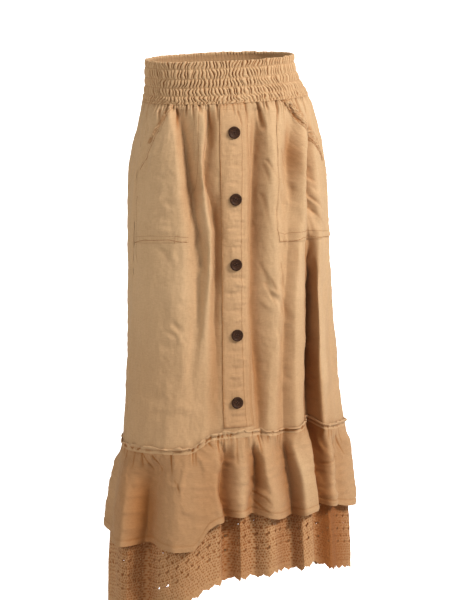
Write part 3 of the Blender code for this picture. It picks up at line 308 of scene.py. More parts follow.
# small creases pressed or dragged into the cloth
# columns: turn, down, length, angle (0 runs down, 90 runs round), width, depth
CREASES = (
    # under the left pocket and across it
    (-0.150, 232, 46, 86, 5.0, -0.6), (-0.135, 246, 60, 93, 6.0, -0.7), (-0.160, 262, 38, 96, 5.0, -0.5),
    (-0.128, 268, 44, 84, 5.0, 0.5), (-0.145, 215, 40, 98, 6.0, 0.5), (-0.118, 222, 30, 75, 5.0, -0.5),
    (-0.128, 305, 30, 60, 5.0, -0.6), (-0.120, 316, 26, 35, 4.0, -0.6), (-0.104, 432, 30, 40, 5.0, -0.9),
    (-0.112, 446, 24, 70, 4.0, -0.8), (-0.098, 452, 26, 20, 4.0, 0.8), (-0.118, 470, 36, 82, 7.0, -0.5),
    (-0.140, 560, 60, 88, 9.0, -0.6), (-0.120, 590, 50, 95, 7.0, -0.5), (-0.085, 575, 44, 70, 8.0, 0.6),
    (-0.176, 150, 34, 20, 4.0, -0.7), (-0.168, 118, 26, 12, 3.5, -0.8), (-0.185, 102, 30, 8, 4.0, -0.7),
    # the soft crease inside the inner ridge
    (-0.069, 400, 120, 2, 5.0, -1.3), (-0.074, 455, 110, -2, 6.0, -0.9), (-0.062, 330, 46, 12, 4.0, -1.2),
    (-0.071, 285, 40, -14, 4.0, -1.0), (-0.064, 262, 44, 10, 4.0, 0.8),
    # right of the placket
    (0.052, 372, 40, 24, 4.5, -1.2), (0.058, 392, 34, 40, 4.0, -1.1), (0.062, 384, 30, 58, 3.5, 0.9), (0.047, 402, 26, 30, 4.0, 0.8),
    (0.070, 408, 38, 18, 4.5, -1.0), (0.078, 372, 36, 8, 4.5, -1.0), (0.085, 335, 44, -10, 5.0, -1.2), (0.088, 300, 34, 16, 4.0, 0.9),
    (0.066, 455, 60, 16, 6.0, -1.0), (0.080, 470, 70, 6, 6.0, -1.0), (0.058, 480, 50, -8, 5.0, 0.8), (0.090, 520, 80, 4, 7.0, -1.0),
    (0.072, 540, 40, 12, 5.0, 0.7), (0.050, 535, 46, -6, 5.0, -0.7), (0.070, 250, 50, 18, 6.0, -1.0), (0.080, 226, 40, 30, 6.0, -1.0),
    (0.096, 232, 30, 48, 5.0, 0.8), (0.100, 205, 36, 22, 5.0, -1.0), (0.074, 190, 44, 10, 6.0, 0.8), (0.107, 262, 30, -20, 4.5, -0.9),
    # drawn from the drag ridge across to the right seam, under the pocket's mouth
    (0.140, 196, 46, 48, 5.0, -1.8), (0.150, 215, 50, 44, 5.5, -2.0), (0.146, 236, 56, 40, 6.0, -2.0), (0.160, 252, 44, 38, 5.5, -1.6),
    (0.156, 200, 40, 52, 4.5, 1.4), (0.164, 226, 44, 46, 5.0, 1.5), (0.170, 275, 50, 30, 6.0, -1.5), (0.152, 286, 44, 28, 5.0, 1.2),
    (0.148, 330, 46, -14, 5.0, 1.6), (0.156, 345, 40, -20, 4.5, 1.4), (0.143, 365, 50, 14, 5.0, 1.5), (0.176, 340, 60, 8, 7.0, -0.9),
    (0.185, 410, 70, 4, 8.0, -0.9), (0.165, 560, 60, 80, 7.0, 0.6), (0.180, 590, 50, 96, 8.0, -0.6), (0.200, 300, 60, -6, 7.0, -0.8),
    (0.215, 210, 50, 12, 6.0, -0.8), (0.225, 150, 40, 16, 5.0, -0.8),
    # the placket ripples between its stitches
    (-0.012, 128, 22, 82, 3.0, -0.5), (-0.006, 141, 26, 95, 3.0, 0.5), (-0.010, 160, 30, 88, 3.5, -0.5), (0.004, 176, 22, 100, 3.0, 0.4),
    (-0.010, 190, 30, 84, 3.5, -0.6), (-0.008, 240, 30, 92, 3.5, -0.6), (-0.004, 252, 34, 84, 3.0, 0.5), (-0.012, 266, 26, 98, 3.5, -0.5),
    (-0.002, 285, 30, 88, 3.5, 0.5), (-0.008, 300, 34, 94, 3.0, -0.6), (-0.006, 352, 32, 86, 3.5, -0.7), (-0.002, 364, 30, 74, 3.0, 0.6),
    (-0.010, 378, 34, 97, 3.5, -0.7), (0.000, 394, 36, 90, 3.0, 0.5), (-0.008, 408, 34, 84, 3.5, -0.7), (-0.004, 424, 28, 99, 3.0, 0.5),
    (-0.010, 478, 34, 88, 3.5, -0.6), (-0.002, 492, 30, 80, 3.0, 0.5), (-0.006, 508, 34, 95, 3.5, -0.6), (-0.010, 522, 26, 87, 3.0, 0.5),
    (-0.004, 540, 30, 92, 3.5, -0.5), (-0.006, 592, 32, 86, 3.5, -0.6), (-0.002, 605, 28, 98, 3.0, 0.5),
    # back
    (0.300, 260, 60, 70, 7.0, -1.0), (0.360, 240, 70, 84, 8.0, -1.0), (0.420, 255, 60, 96, 7.0, -0.9), (0.465, 300, 70, 60, 7.0, -1.1),
    (0.530, 280, 60, 120, 7.0, -1.0), (0.600, 262, 66, 92, 8.0, -1.0), (0.660, 300, 60, 80, 7.0, -0.9), (0.330, 420, 60, 14, 6.0, -1.1),
    (0.395, 480, 70, -10, 7.0, -1.0), (0.470, 430, 60, 20, 6.0, -1.0), (0.560, 460, 70, -16, 7.0, -1.1), (0.640, 500, 60, 12, 6.0, -0.9),
    (0.700, 400, 66, -8, 7.0, -1.0), (0.430, 560, 60, 80, 8.0, -0.8), (0.540, 590, 60, 96, 8.0, -0.8), (0.620, 350, 50, 30, 6.0, 0.9),
    (0.350, 330, 50, -24, 6.0, 0.9), (0.500, 370, 56, 10, 6.0, 0.9), (0.580, 540, 56, -6, 6.0, 0.9), (0.305, 560, 60, 88, 8.0, -0.7),
)
# creases of the flounce: turn, down from its seam, length, angle, width, depth
FLOUNCE_CREASES = (
    (-0.168, 40, 60, 8, 5.0, -1.2), (-0.150, 22, 36, -12, 4.0, -1.8), (-0.140, 20, 40, 28, 4.0, -1.6), (-0.128, 26, 44, 8, 4.5, -1.8),
    (-0.118, 18, 34, -6, 3.5, -1.4), (-0.104, 26, 50, 4, 5.0, -1.2), (-0.092, 34, 60, -8, 6.0, -1.2), (-0.100, 88, 46, 24, 5.0, -1.1),
    (-0.094, 74, 30, 38, 4.0, -1.0), (-0.088, 100, 40, 16, 5.0, -1.0), (-0.096, 128, 46, 8, 6.0, -1.0), (-0.078, 60, 70, -4, 6.0, -1.3),
    (-0.068, 30, 50, 10, 5.0, -1.2), (-0.060, 18, 34, 34, 3.5, -1.6), (-0.048, 16, 34, 46, 3.5, -1.6), (-0.040, 30, 40, 30, 4.0, -1.4),
    (-0.030, 20, 40, 40, 3.5, -1.4), (-0.018, 22, 50, 14, 4.0, -1.4), (-0.006, 30, 60, 4, 4.5, -1.2), (0.006, 20, 40, -8, 3.5, -1.4),
    (0.018, 26, 44, 6, 4.0, -1.2), (0.024, 90, 40, 62, 5.0, -1.0), (0.030, 104, 34, 40, 4.5, 1.0), (0.022, 118, 40, 74, 5.0, -0.9),
    (0.040, 20, 50, -6, 4.0, -1.3), (0.050, 30, 60, 2, 5.0, -1.2), (0.060, 18, 40, 8, 3.5, -1.4), (0.072, 26, 60, 10, 4.0, -1.4),
    (0.083, 18, 36, 12, 3.5, -1.4), (0.092, 50, 60, 14, 5.0, -1.0), (0.140, 26, 60, 16, 4.5, -2.0), (0.152, 22, 46, 10, 3.5, -1.8),
    (0.160, 34, 60, 18, 4.0, -2.0), (0.170, 24, 46, 22, 3.5, -1.8), (0.180, 40, 70, 16, 5.0, -1.8), (0.192, 26, 50, 14, 4.0, -1.6),
    (0.205, 30, 60, 10, 4.5, -1.6), (0.155, 96, 60, 92, 6.0, -0.8), (0.170, 112, 60, 86, 6.0, -0.8), (0.160, 128, 70, 90, 5.0, 0.7),
)
# short deep gathers where cloth is sewn to something shorter: depth, width, then the line it follows in turn and down
BODY_STROKES = (
    (3.4, 4.5, ((-0.163, 68), (-0.158, 84))), (3.2, 3.6, ((-0.127, 66), (-0.118, 97))), (3.2, 4.2, ((-0.081, 56), (-0.0735, 72))),
    (3.2, 3.4, ((-0.0616, 56), (-0.0512, 99))), (2.6, 3.2, ((-0.043, 57), (-0.040, 86))), (1.6, 2.8, ((-0.0006, 72), (0.0062, 96))),
    (3.0, 3.4, ((0.016, 58), (0.0214, 92))), (4.2, 4.4, ((0.042, 56), (0.050, 72), (0.053, 104))), (3.2, 3.6, ((0.0896, 56), (0.082, 90))),
    (3.2, 4.2, ((0.1236, 68), (0.1463, 102))), (3.6, 4.4, ((0.147, 57), (0.149, 80))), (2.6, 3.6, ((-0.2085, 60), (-0.198, 88))),
    (3.0, 4.0, ((-0.149, 56), (-0.1454, 73))), (2.6, 3.2, ((-0.108, 56), (-0.103, 75))), (2.6, 3.2, ((-0.0934, 56), (-0.0876, 82))),
    (1.6, 2.6, ((-0.024, 58), (-0.025, 73))), (1.6, 2.6, ((-0.0096, 58), (-0.0089, 75))), (2.2, 3.0, ((0.0647, 56), (0.0629, 71))),
    (2.6, 3.4, ((0.1106, 56), (0.1088, 77))), (2.8, 3.6, ((0.170, 57), (0.176, 86))), (2.6, 3.4, ((0.193, 57), (0.197, 80))),
    (3.0, 3.8, ((0.215, 57), (0.219, 92))), (2.6, 3.4, ((0.236, 57), (0.238, 84))), (-1.8, 5.0, ((0.030, 62), (0.034, 92))),
    (-1.6, 5.0, ((-0.068, 64), (-0.062, 92))), (-1.6, 5.0, ((0.100, 64), (0.095, 92))), (-1.6, 5.5, ((-0.140, 62), (-0.134, 90))),
    # drag lines right of the placket and under the right pocket's mouth
    (1.4, 3.4, ((0.1337, 163), (0.150, 184), (0.173, 208))), (1.5, 3.4, ((0.1539, 247), (0.178, 270), (0.2001, 288))), (1.4, 3.2, ((0.1593, 230), (0.1856, 256))),
    (1.1, 3.2, ((0.164, 178), (0.1661, 219))), (-1.2, 4.0, ((0.150, 200), (0.170, 226))), (-1.2, 4.0, ((0.165, 242), (0.186, 266))),
    (1.0, 3.0, ((0.0481, 164), (0.0535, 195))), (1.1, 3.0, ((0.0521, 155), (0.0654, 184))), (0.9, 3.4, ((0.0445, 212), (0.0542, 286))),
    (1.0, 3.2, ((0.0846, 141), (0.1019, 178))), (1.2, 3.0, ((0.0459, 366), (0.0604, 407))), (1.2, 3.0, ((0.0535, 360), (0.0662, 390))),
    (0.9, 3.2, ((0.0405, 332), (0.0496, 366))), (0.9, 3.0, ((0.073, 334), (0.0835, 382))), (0.7, 3.0, ((0.0997, 315), (0.0943, 371))),
    (-1.0, 3.6, ((0.0500, 372), (0.0625, 404))), (0.9, 3.0, ((0.080, 396), (0.0855, 440))), (0.7, 3.2, ((0.066, 420), (0.0625, 470))),
    (0.8, 3.2, ((0.0750, 210), (0.0830, 250))), (-0.8, 4.0, ((0.088, 200), (0.096, 236))), (0.8, 3.2, ((0.107, 200), (0.101, 246))),
    # the back's
    (3.0, 3.8, ((0.262, 57), (0.264, 96))), (2.6, 3.4, ((0.285, 57), (0.283, 82))), (3.2, 4.0, ((0.312, 57), (0.318, 104))),
    (2.6, 3.4, ((0.333, 57), (0.334, 84))), (3.0, 3.8, ((0.358, 57), (0.364, 98))), (3.4, 4.2, ((0.386, 57), (0.383, 90))),
    (2.6, 3.4, ((0.409, 57), (0.413, 84))), (3.2, 4.0, ((0.436, 57), (0.440, 108))), (2.6, 3.4, ((0.462, 57), (0.460, 80))),
    (3.2, 4.0, ((0.487, 57), (0.493, 100))), (2.8, 3.4, ((0.512, 57), (0.510, 86))), (3.2, 4.0, ((0.541, 57), (0.547, 98))),
    (2.6, 3.4, ((0.566, 57), (0.564, 82))), (3.2, 4.0, ((0.592, 57), (0.598, 106))), (2.6, 3.4, ((0.617, 57), (0.615, 84))),
    (3.0, 3.8, ((0.644, 57), (0.650, 94))), (2.8, 3.6, ((0.668, 57), (0.666, 84))), (3.2, 4.0, ((0.694, 57), (0.700, 100))),
    (2.6, 3.4, ((0.719, 57), (0.717, 82))), (3.0, 3.8, ((0.745, 57), (0.750, 96))), (2.6, 3.4, ((0.771, 57), (0.769, 84))),
)
FLOUNCE_STROKES = (
    (2.8, 2.9, ((-0.1519, 658), (-0.153, 684))), (3.0, 3.0, ((-0.1331, 660), (-0.1194, 688))), (2.6, 2.9, ((-0.1039, 655), (-0.1030, 672), (-0.1010, 690))),
    (2.6, 2.7, ((-0.0728, 652), (-0.0725, 671))), (2.6, 2.7, ((-0.053, 631), (-0.0439, 645))), (2.8, 2.7, ((-0.0364, 632), (-0.0371, 651))),
    (2.4, 2.6, ((0.0255, 630), (0.0311, 659))), (2.6, 2.6, ((0.0405, 628), (0.0402, 644))), (3.0, 2.9, ((0.1871, 660), (0.208, 712))),
    (2.6, 2.6, ((0.1604, 647), (0.1596, 664))), (2.4, 2.6, ((-0.0277, 630), (-0.0284, 655))), (1.8, 2.4, ((-0.0082, 631), (-0.0068, 674))),
    (2.4, 2.6, ((0.1690, 652), (0.1700, 676))), (2.2, 2.4, ((0.1515, 642), (0.1500, 662))), (2.4, 2.7, ((0.2000, 656), (0.2060, 690))),
    (-1.8, 3.2, ((0.178, 690), (0.150, 706))), (-1.8, 3.2, ((0.172, 712), (0.144, 716))), (1.6, 3.2, ((0.176, 702), (0.148, 711))),
    (2.2, 2.6, ((0.0560, 630), (0.0565, 656))), (-1.6, 3.6, ((0.034, 632), (0.0355, 668))), (2.0, 2.4, ((-0.166, 660), (-0.1675, 690))),
    (2.2, 2.6, ((-0.186, 664), (-0.188, 696))), (1.6, 3.2, ((0.018, 730), (0.034, 738), (0.040, 752))), (1.4, 3.2, ((0.022, 748), (0.036, 764))),
    (2.4, 2.6, ((-0.0690, 652), (-0.0690, 672))), (2.2, 2.4, ((-0.1500, 660), (-0.1370, 690))), (1.8, 2.4, ((-0.0915, 703), (-0.0885, 719))), (1.3, 2.4, ((-0.0960, 698), (-0.0900, 713))), (-1.2, 3.2, ((-0.0985, 706), (-0.0945, 722))),
)
# gathers are smaller and more regular than creases; each row below is a run of them
# columns: turn from, turn to, how many, depth least, depth most, reach least, reach most
BODY_GATHERS = (
    (-0.215, -0.120, 15, 0.8, 2.0, 14, 46), (-0.120, -0.040, 13, 0.8, 2.0, 12, 40), (-0.034, 0.014, 6, 0.5, 1.3, 12, 44),
    (0.018, 0.110, 15, 1.0, 2.2, 16, 60), (0.110, 0.245, 17, 0.8, 2.0, 14, 46), (0.245, 0.785, 62, 0.6, 1.6, 14, 60),
)
FLOUNCE_GATHERS = ((-0.215, 0.785, 128, 0.3, 2.0, 8, 36),)


def bell(x):
    x = np.clip(np.abs(x), 0, 1)
    return (1 - x*x)**2


def noise(x, y, seed, wrap):
    """smooth lattice noise from -1 to 1; x runs round the skirt and wraps after that many cells"""
    table = np.random.RandomState(seed).rand(97, wrap)*2 - 1
    xi = np.floor(x).astype(int); yi = np.floor(y).astype(int); fx = x - xi; fy = y - yi
    fx = fx**3*(fx*(fx*6 - 15) + 10); fy = fy**3*(fy*(fy*6 - 15) + 10)
    a = table[yi % 97, xi % wrap]; b = table[yi % 97, (xi+1) % wrap]
    c = table[(yi+1) % 97, xi % wrap]; d = table[(yi+1) % 97, (xi+1) % wrap]
    return (a*(1-fx) + b*fx)*(1-fy) + (c*(1-fx) + d*fx)*fy


def near(u, v):
    """how far round from v to u, the short way"""
    return np.mod(u - v + 0.5, 1.0) - 0.5


def crease_out(table, u, s, girth):
    """the sum of the listed creases"""
    out = np.zeros(u.shape)
    for t, d, length, angle, width, depth in table:
        x = near(u, t)*girth; y = s - d
        a = math.radians(angle)
        along = y*math.cos(a) + x*math.sin(a); across = x*math.cos(a) - y*math.sin(a)
        along = along + 0.0*across
        bend = across + 0.012*along**2/ max(length, 1)*np.sign(depth)*3
        out += depth*bell(along/(0.62*length))*bell(bend/(1.7*width))
    return out


def gather_rows(runs, seed):
    """spread the runs out into single gathers: turn, depth, reach, width, drift"""
    rng = np.random.RandomState(seed)
    rows = []
    for a, b, n, d0, d1, r0, r1 in runs:
        step_u = (b - a)/n
        for i in range(n):
            t = a + step_u*(i + 0.5 + 0.55*(rng.rand() - 0.5))
            big = rng.rand()
            rows.append((t, d0 + (d1 - d0)*big**1.4, r0 + (r1 - r0)*rng.rand()**1.6*(0.5 + 0.5*big), (0.30 + 0.20*rng.rand())*step_u, (rng.rand() - 0.5)*0.18))
    return rows


BODY_GATHER_ROWS = gather_rows(BODY_GATHERS, 11)
FLOUNCE_GATHER_ROWS = gather_rows(FLOUNCE_GATHERS, 23)


def gather_out(rows, u, y, girth):
    """gathers hang from y = 0, deepest there and gone at their reach"""
    out = np.zeros(u.shape)
    fl = np.atleast_1d(y)
    for t, depth, reach, width, drift in rows:
        sel = (y > -3) & (y < reach) & (np.abs(near(u, t)*girth) < 26)
        if not sel.any():
            continue
        yy = np.maximum(y[sel], 0)
        x = near(u[sel], t)*girth - drift*yy
        w = width*girth*(1 + 0.9*yy/reach)
        out[sel] -= depth*(1 - yy/reach)**1.3*bell(x/w)
        out[sel] += 0.35*depth*(1 - yy/reach)**1.3*bell((np.abs(x) - 1.1*w)/(0.8*w))
    return out


def stroke_out(table, u, s, girth):
    """deep short lines: soft across, fading to nothing at the lower end"""
    out = np.zeros(u.shape)
    for depth, width, line in table:
        line = np.array(line, float)
        a0, a1 = line[:, 0].min() - 14/girth, line[:, 0].max() + 14/girth
        mid = 0.5*(a0 + a1)
        sel = (np.abs(near(u, mid)) < 0.5*(a1 - a0)) & (s > line[:, 1].min() - 12) & (s < line[:, 1].max() + 12)
        if not sel.any():
            continue
        x = near(u[sel], mid)*girth; y = s[sel]
        q = np.stack([(line[:, 0] - mid)*girth, line[:, 1]], 1)
        seg = np.hypot(*np.diff(q, axis=0).T); c = np.concatenate([[0], np.cumsum(seg)])/seg.sum()
        best = np.full(x.shape, 1e9); at = np.zeros(x.shape)
        for k in range(len(q) - 1):
            d = q[k+1] - q[k]; t = np.clip(((x - q[k, 0])*d[0] + (y - q[k, 1])*d[1])/(d @ d), 0, 1)
            r = np.hypot(x - q[k, 0] - t*d[0], y - q[k, 1] - t*d[1])
            m = r < best; best = np.where(m, r, best); at = np.where(m, c[k] + (c[k+1] - c[k])*t, at)
        end = (1 - at**2.5*0.75)
        out[sel] -= depth*end*bell(best/width)
        if depth > 0:
            out[sel] += 0.30*depth*end*bell((best - 1.15*width)/(0.85*width))
    return out


def body_cuts(u, s):
    """the gathers and short deep lines on the panels"""
    return gather_out(BODY_GATHER_ROWS, u, s - 57.0, 860.0) + 0.8*stroke_out(BODY_STROKES, u, s, 900.0)


def body_detail(u, s):
    """everything smaller than the folds, on the panels"""
    g = 1080.0
    out = 2.4*crease_out(CREASES, u, s, g)
    out += body_cuts(u, s)
    calm = step((s - 57)/60.0)
    out += calm*0.30*noise(u*300, s/5.0, 10, 300)
    out += 1.5*calm*(1.0*noise(u*46, s/85.0, 3, 46) + 0.7*noise(u*90 + 0.3*s/30, s/34.0, 5, 90)
                 + 0.55*noise(u*34, s/13.0 + 2.0*u*7, 7, 34)*(0.5 + 0.5*noise(u*12, s/70.0, 8, 12))
                 + 0.22*noise(u*160, s/9.0, 9, 160))
    seam = round_line(SEAM, u)
    # the flounce's weight and seam draw short gathers up into the panels
    up = seam - 6 - s
    out += 0.5*noise(u*150, up/60.0, 14, 150)*np.exp(-np.maximum(up, 0)/14.0)
    # side seams are sewn a little tight
    for t in (-0.203, 0.240):
        x = near(u, t)*g
        out -= 0.9*np.exp(-(x/1.6)**2) - 0.35*np.exp(-((np.abs(x) - 4.5)/2.2)**2)
    return out


def flounce_profile(y):
    """how far the flounce stands off the panels at a distance below its seam: a puffed frill, the sewn groove, the fall"""
    pts = ((-9.0, 1.2), (-8.0, 2.3), (-6.0, 3.6), (-3.5, 3.8), (-1.5, 2.8), (0.0, 1.1), (1.6, 1.5), (5.0, 2.0), (12.0, 2.3), (30.0, 2.2), (400.0, 2.2))
    q = y.ravel()
    return ease([p[0] for p in pts], [[p[1]] for p in pts], q)[:, 0].reshape(y.shape)


def flounce_cuts(u, s, y):
    return gather_out(FLOUNCE_GATHER_ROWS, u, y, 1250.0) + stroke_out(FLOUNCE_STROKES, u, s, 1250.0)


def flounce_detail(u, s):
    y = s - round_line(SEAM, u)
    hem = round_line(HEM, u)
    out = flounce_profile(y)
    frill = step((-y + 1.0)/6.0)
    out += frill*(0.9*noise(u*150, y/30.0, 31, 150) + 0.6*noise(u*260, y/8.0, 32, 260))
    out += flounce_cuts(u, s, y)
    out += 2.2*crease_out(FLOUNCE_CREASES, u, y, 1280.0)*step(y/14.0)
    out += 1.5*step(y/30.0)*(0.8*noise(u*60, s/60.0, 33, 60) + 0.6*noise(u*120, s/24.0, 35, 120) + 0.55*noise(u*50, s/7.0, 37, 50) + 0.3*noise(u*240, s/6.0, 38, 240))
    # the turned hem: sewn 11 mm up
    up = hem - s
    out -= 0.7*np.exp(-((up - 11.0)/1.1)**2)
    out += 0.35*step((11.0 - up)/2.0)*(1 + 0.8*noise(u*190, up/6.0, 41, 190))
    return out


def frames(kind, u, s, e=1.2):
    """points and outward directions of a layer"""
    du = e/1100.0
    P = layer(kind, u, s)
    a = layer(kind, u + du, s) - layer(kind, u - du, s)
    b = layer(kind, u, s + e) - layer(kind, u, s - e)
    n = np.cross(b, a)
    return P, n/np.linalg.norm(n, axis=-1, keepdims=True)


# ================================================================ meshes
def mesh_object(name, points, faces, uv=None, mat=None, smooth=True, keep_mm=True, painted_shade_and_glow=None):
    """a mesh from points in millimetres, faces (all triangles or all quads), one uv per point in metres,
    and an amount per point from 0 to 1, kept as an attribute: painted shade on the cloth, glow strength on the sweep"""
    points = np.asarray(points, float).reshape(-1, 3)*(MM if keep_mm else 1.0)
    me = bpy.data.meshes.new(name)
    faces = [np.asarray(f) for f in (faces if isinstance(faces, (list, tuple)) and len(faces) and np.ndim(faces[0]) == 2 else [faces])]
    me.vertices.add(len(points)); me.vertices.foreach_set("co", points.ravel())
    loops = np.concatenate([f.ravel() for f in faces])
    sizes = np.concatenate([np.full(len(f), f.shape[1]) for f in faces])
    starts = np.concatenate([[0], np.cumsum(sizes)[:-1]])
    me.loops.add(len(loops)); me.loops.foreach_set("vertex_index", loops.astype(np.int32))
    me.polygons.add(len(sizes)); me.polygons.foreach_set("loop_start", starts.astype(np.int32))
    me.polygons.foreach_set("loop_total", sizes.astype(np.int32))
    me.polygons.foreach_set("use_smooth", np.full(len(sizes), smooth))
    me.update(calc_edges=True)
    if uv is not None:
        lay = me.uv_layers.new(name="cloth")
        lay.data.foreach_set("uv", np.asarray(uv, float).reshape(-1, 2)[loops].ravel())
    # the point attribute: painted shade on the cloth pieces, emission strength on the sweep
    if painted_shade_and_glow is not None:
        me.attributes.new("painted_shade_and_glow", "FLOAT", "POINT").data.foreach_set("value", np.clip(np.asarray(painted_shade_and_glow, float), 0, 1).ravel())
    me.validate()
    ob = bpy.data.objects.new(name, me)
    bpy.context.collection.objects.link(ob)
    if mat is not None:
        me.materials.append(mat)
    return ob


def grid_faces(rows, cols, closed=False, flip=False):
    i = np.arange(rows*cols).reshape(rows, cols)
    if closed:
        i = np.concatenate([i, i[:, :1]], 1)
    a, b, c, d = i[:-1, :-1], i[:-1, 1:], i[1:, 1:], i[1:, :-1]
    q = np.stack([a, d, c, b], -1).reshape(-1, 4)
    return q[:, ::-1] if flip else q


def arc_uv(P, s):
    """cloth coordinates in metres: along each row by its own length, and down"""
    seg = np.linalg.norm(np.diff(P, axis=1), axis=2)
    x = np.concatenate([np.zeros((P.shape[0], 1)), np.cumsum(seg, 1)], 1)
    x = x - x[:, x.shape[1]//2:x.shape[1]//2 + 1]
    return np.stack([x*MM, -s*MM], -1)


def line_turns(table, s):
    s = np.asarray(s, float)
    return np.stack([ease([p[0] for p in pts], [p[1:] for p in pts], s)[:, 0] for _, pts in table], 0)


LINE = {name: k for k, (name, _) in enumerate(BODY_FOLDS)}


# where each fold line runs, read every millimetre, so that columns can follow the crests
DOWN_TABLE = np.arange(0, 1061.0)
BODY_TURNS = line_turns(BODY_FOLDS, DOWN_TABLE)
RUFFLE_TURNS = line_turns(RUFFLE_FOLDS, DOWN_TABLE)


def column_turns(turn_table, where, s):
    """turn of the columns given as (line number, share of the way to the next) at rows s (rows, cols)"""
    K = len(turn_table)
    out = np.zeros(s.shape)
    for c, (k, f) in enumerate(where):
        a = np.interp(s[:, c], DOWN_TABLE, turn_table[k % K]) + k//K
        b = np.interp(s[:, c], DOWN_TABLE, turn_table[(k+1) % K]) + (k+1)//K
        out[:, c] = a + (b - a)*f
    return out


def column_list(table, turn_table, kind, rows, spacing, first, last):
    """columns between two fold lines, about spacing millimetres apart where the cloth is widest"""
    K = len(turn_table); where = []
    f = np.linspace(0, 1, 13)
    for k in range(first, last):
        L = 0
        for s in rows:
            a = np.interp(s, DOWN_TABLE, turn_table[k % K]) + k//K
            b = np.interp(s, DOWN_TABLE, turn_table[(k+1) % K]) + (k+1)//K
            P = layer(kind, a + (b-a)*f, np.full(13, float(s)))
            L = max(L, np.linalg.norm(np.diff(P, axis=0), axis=1).sum())
        n = max(2, int(math.ceil(L/spacing)))
        where += [(k, i/n) for i in range(n)]
    where.append((last, 0.0))
    return where


def surface(kind, u, s, off):
    """points off a layer, with each point's own outward direction (points, normals)"""
    P, n = frames(kind, u, s)
    return P + n*off[..., None], n


# ================================================================ how much the folds shade the cloth, used as painted shade
def fold_occlusion_table(kind, s0, s1, rows):
    """at a grid of turns and rows, how much of the sky the neighbouring folds take away, from 0 to 1, for painted shade
    """
    cols = 960
    U, S = np.meshgrid(np.arange(cols)/cols, np.linspace(s0, s1, rows))
    P = layer(kind, U, S)[..., :2]
    t = np.roll(P, -2, 1) - np.roll(P, 2, 1); t /= np.linalg.norm(t, axis=2, keepdims=True)
    n = np.stack([t[..., 1], -t[..., 0]], -1)
    left = np.zeros(U.shape); right = np.zeros(U.shape)
    for k in range(2, 74, 2):
        for sign, best in ((1, right), (-1, left)):
            d = np.roll(P, -sign*k, 1) - P
            up = (d*n).sum(2); side = sign*(d*t).sum(2)
            sine = np.where(side <= 0, np.where(up > 0, 1.0, 0.0), up/np.hypot(up, np.maximum(side, 0.5)))
            np.maximum(best, sine, out=best)
    return 1 - 0.5*(np.sqrt(1 - np.minimum(left, 1)**2) + np.sqrt(1 - np.minimum(right, 1)**2))


FOLD_OCCLUSION = {"body": (50.0, 670.0, fold_occlusion_table("body", 50.0, 670.0, 63)),
           "ruffle": (600.0, 840.0, fold_occlusion_table("ruffle", 600.0, 840.0, 33)),
           "lace": (600.0, 1060.0, fold_occlusion_table("lace", 600.0, 1060.0, 47))}


def fold_occlusion_at(kind, u, s):
    s0, s1, T = FOLD_OCCLUSION[kind]
    rows, cols = T.shape
    x = np.mod(u, 1.0)*cols; i = x.astype(int); fx = x - i; i = i % cols
    y = np.clip((s - s0)/(s1 - s0)*(rows - 1), 0, rows - 1 - 1e-9); j = y.astype(int); fy = y - j
    k = (i + 1) % cols
    return (T[j, i]*(1-fx) + T[j, k]*fx)*(1-fy) + (T[j+1, i]*(1-fx) + T[j+1, k]*fx)*fy


# painted shade on the panels, more or less than the folds' painted shade: turn, down, half width in turns, half height,
# how much
BODY_PAINTED_SHADES = ((-0.058, 110, 0.008, 60, -0.55), (-0.100, 130, 0.010, 60, -0.25), (0.113, 145, 0.012, 40, 0.40), (0.030, 400, 0.008, 110, 0.20), (0.031, 545, 0.008, 80, 0.35),
               (-0.042, 520, 0.010, 90, 0.35), (0.143, 430, 0.012, 160, 0.30), (0.165, 500, 0.012, 110, -0.35), (-0.072, 180, 0.006, 50, 0.15))
# the same painted shade on the flounce: turn, down, half width, half height, how much
FLOUNCE_PAINTED_SHADES = ((-0.168, 720, 0.030, 80, 0.14), (-0.143, 760, 0.014, 70, 0.12), (-0.052, 720, 0.016, 60, 0.12), (0.088, 720, 0.014, 60, -0.35), (0.000, 715, 0.012, 50, -0.12))


def painted_shade_patches(table, u, s):
    # sums soft patches of painted shade
    out = np.zeros(u.shape)
    for t, d, w, h, much in table:
        out += much*bell(near(u, t)/(1.5*w))*bell((s - d)/(1.5*h))
    return out


def body_painted_shade(u, s):
    # painted shade on the panels: the folds' occlusion, the gathers and strokes, a band under the waistband, the lower
    # panels, the lower right lobe and the listed patches
    top = step((s - 52)/20.0)
    cut = np.clip(-body_cuts(u, s)/2.6, 0, 1)
    painted_shade_under_band = np.exp(-np.maximum(s - 57.0, 0)/2.4)
    low = 0.20*step((s - 330)/260.0)                            # painted shade, darker towards the lower panels
    painted_lobe_shade = 0.10*bell(near(u, 0.170)/0.030)*step((s - 430)/120.0)
    return np.clip(top*fold_occlusion_at("body", u, s) + 0.60*cut + 0.30*painted_shade_under_band + low + painted_lobe_shade + painted_shade_patches(BODY_PAINTED_SHADES, u, s), 0, 1.3)


# ================================================================ materials
def new_material(name):
    m = bpy.data.materials.new(name); m.use_nodes = True
    t = m.node_tree
    return m, t, t.nodes["Principled BSDF"]


def node(t, kind, **values):
    n = t.nodes.new(kind)
    for k, v in values.items():
        if hasattr(n, k):
            setattr(n, k, v)
        else:
            n.inputs[k.replace("_", " ")].default_value = v
    return n


def mix_colour(t, fac, a, b, blend="MIX"):
    n = t.nodes.new("ShaderNodeMix"); n.data_type = "RGBA"; n.blend_type = blend; n.clamp_factor = True
    for sock, v in ((n.inputs[0], fac), (n.inputs[6], a), (n.inputs[7], b)):
        if isinstance(v, bpy.types.NodeSocket):
            t.links.new(v, sock)
        else:
            sock.default_value = v
    return n.outputs[2]


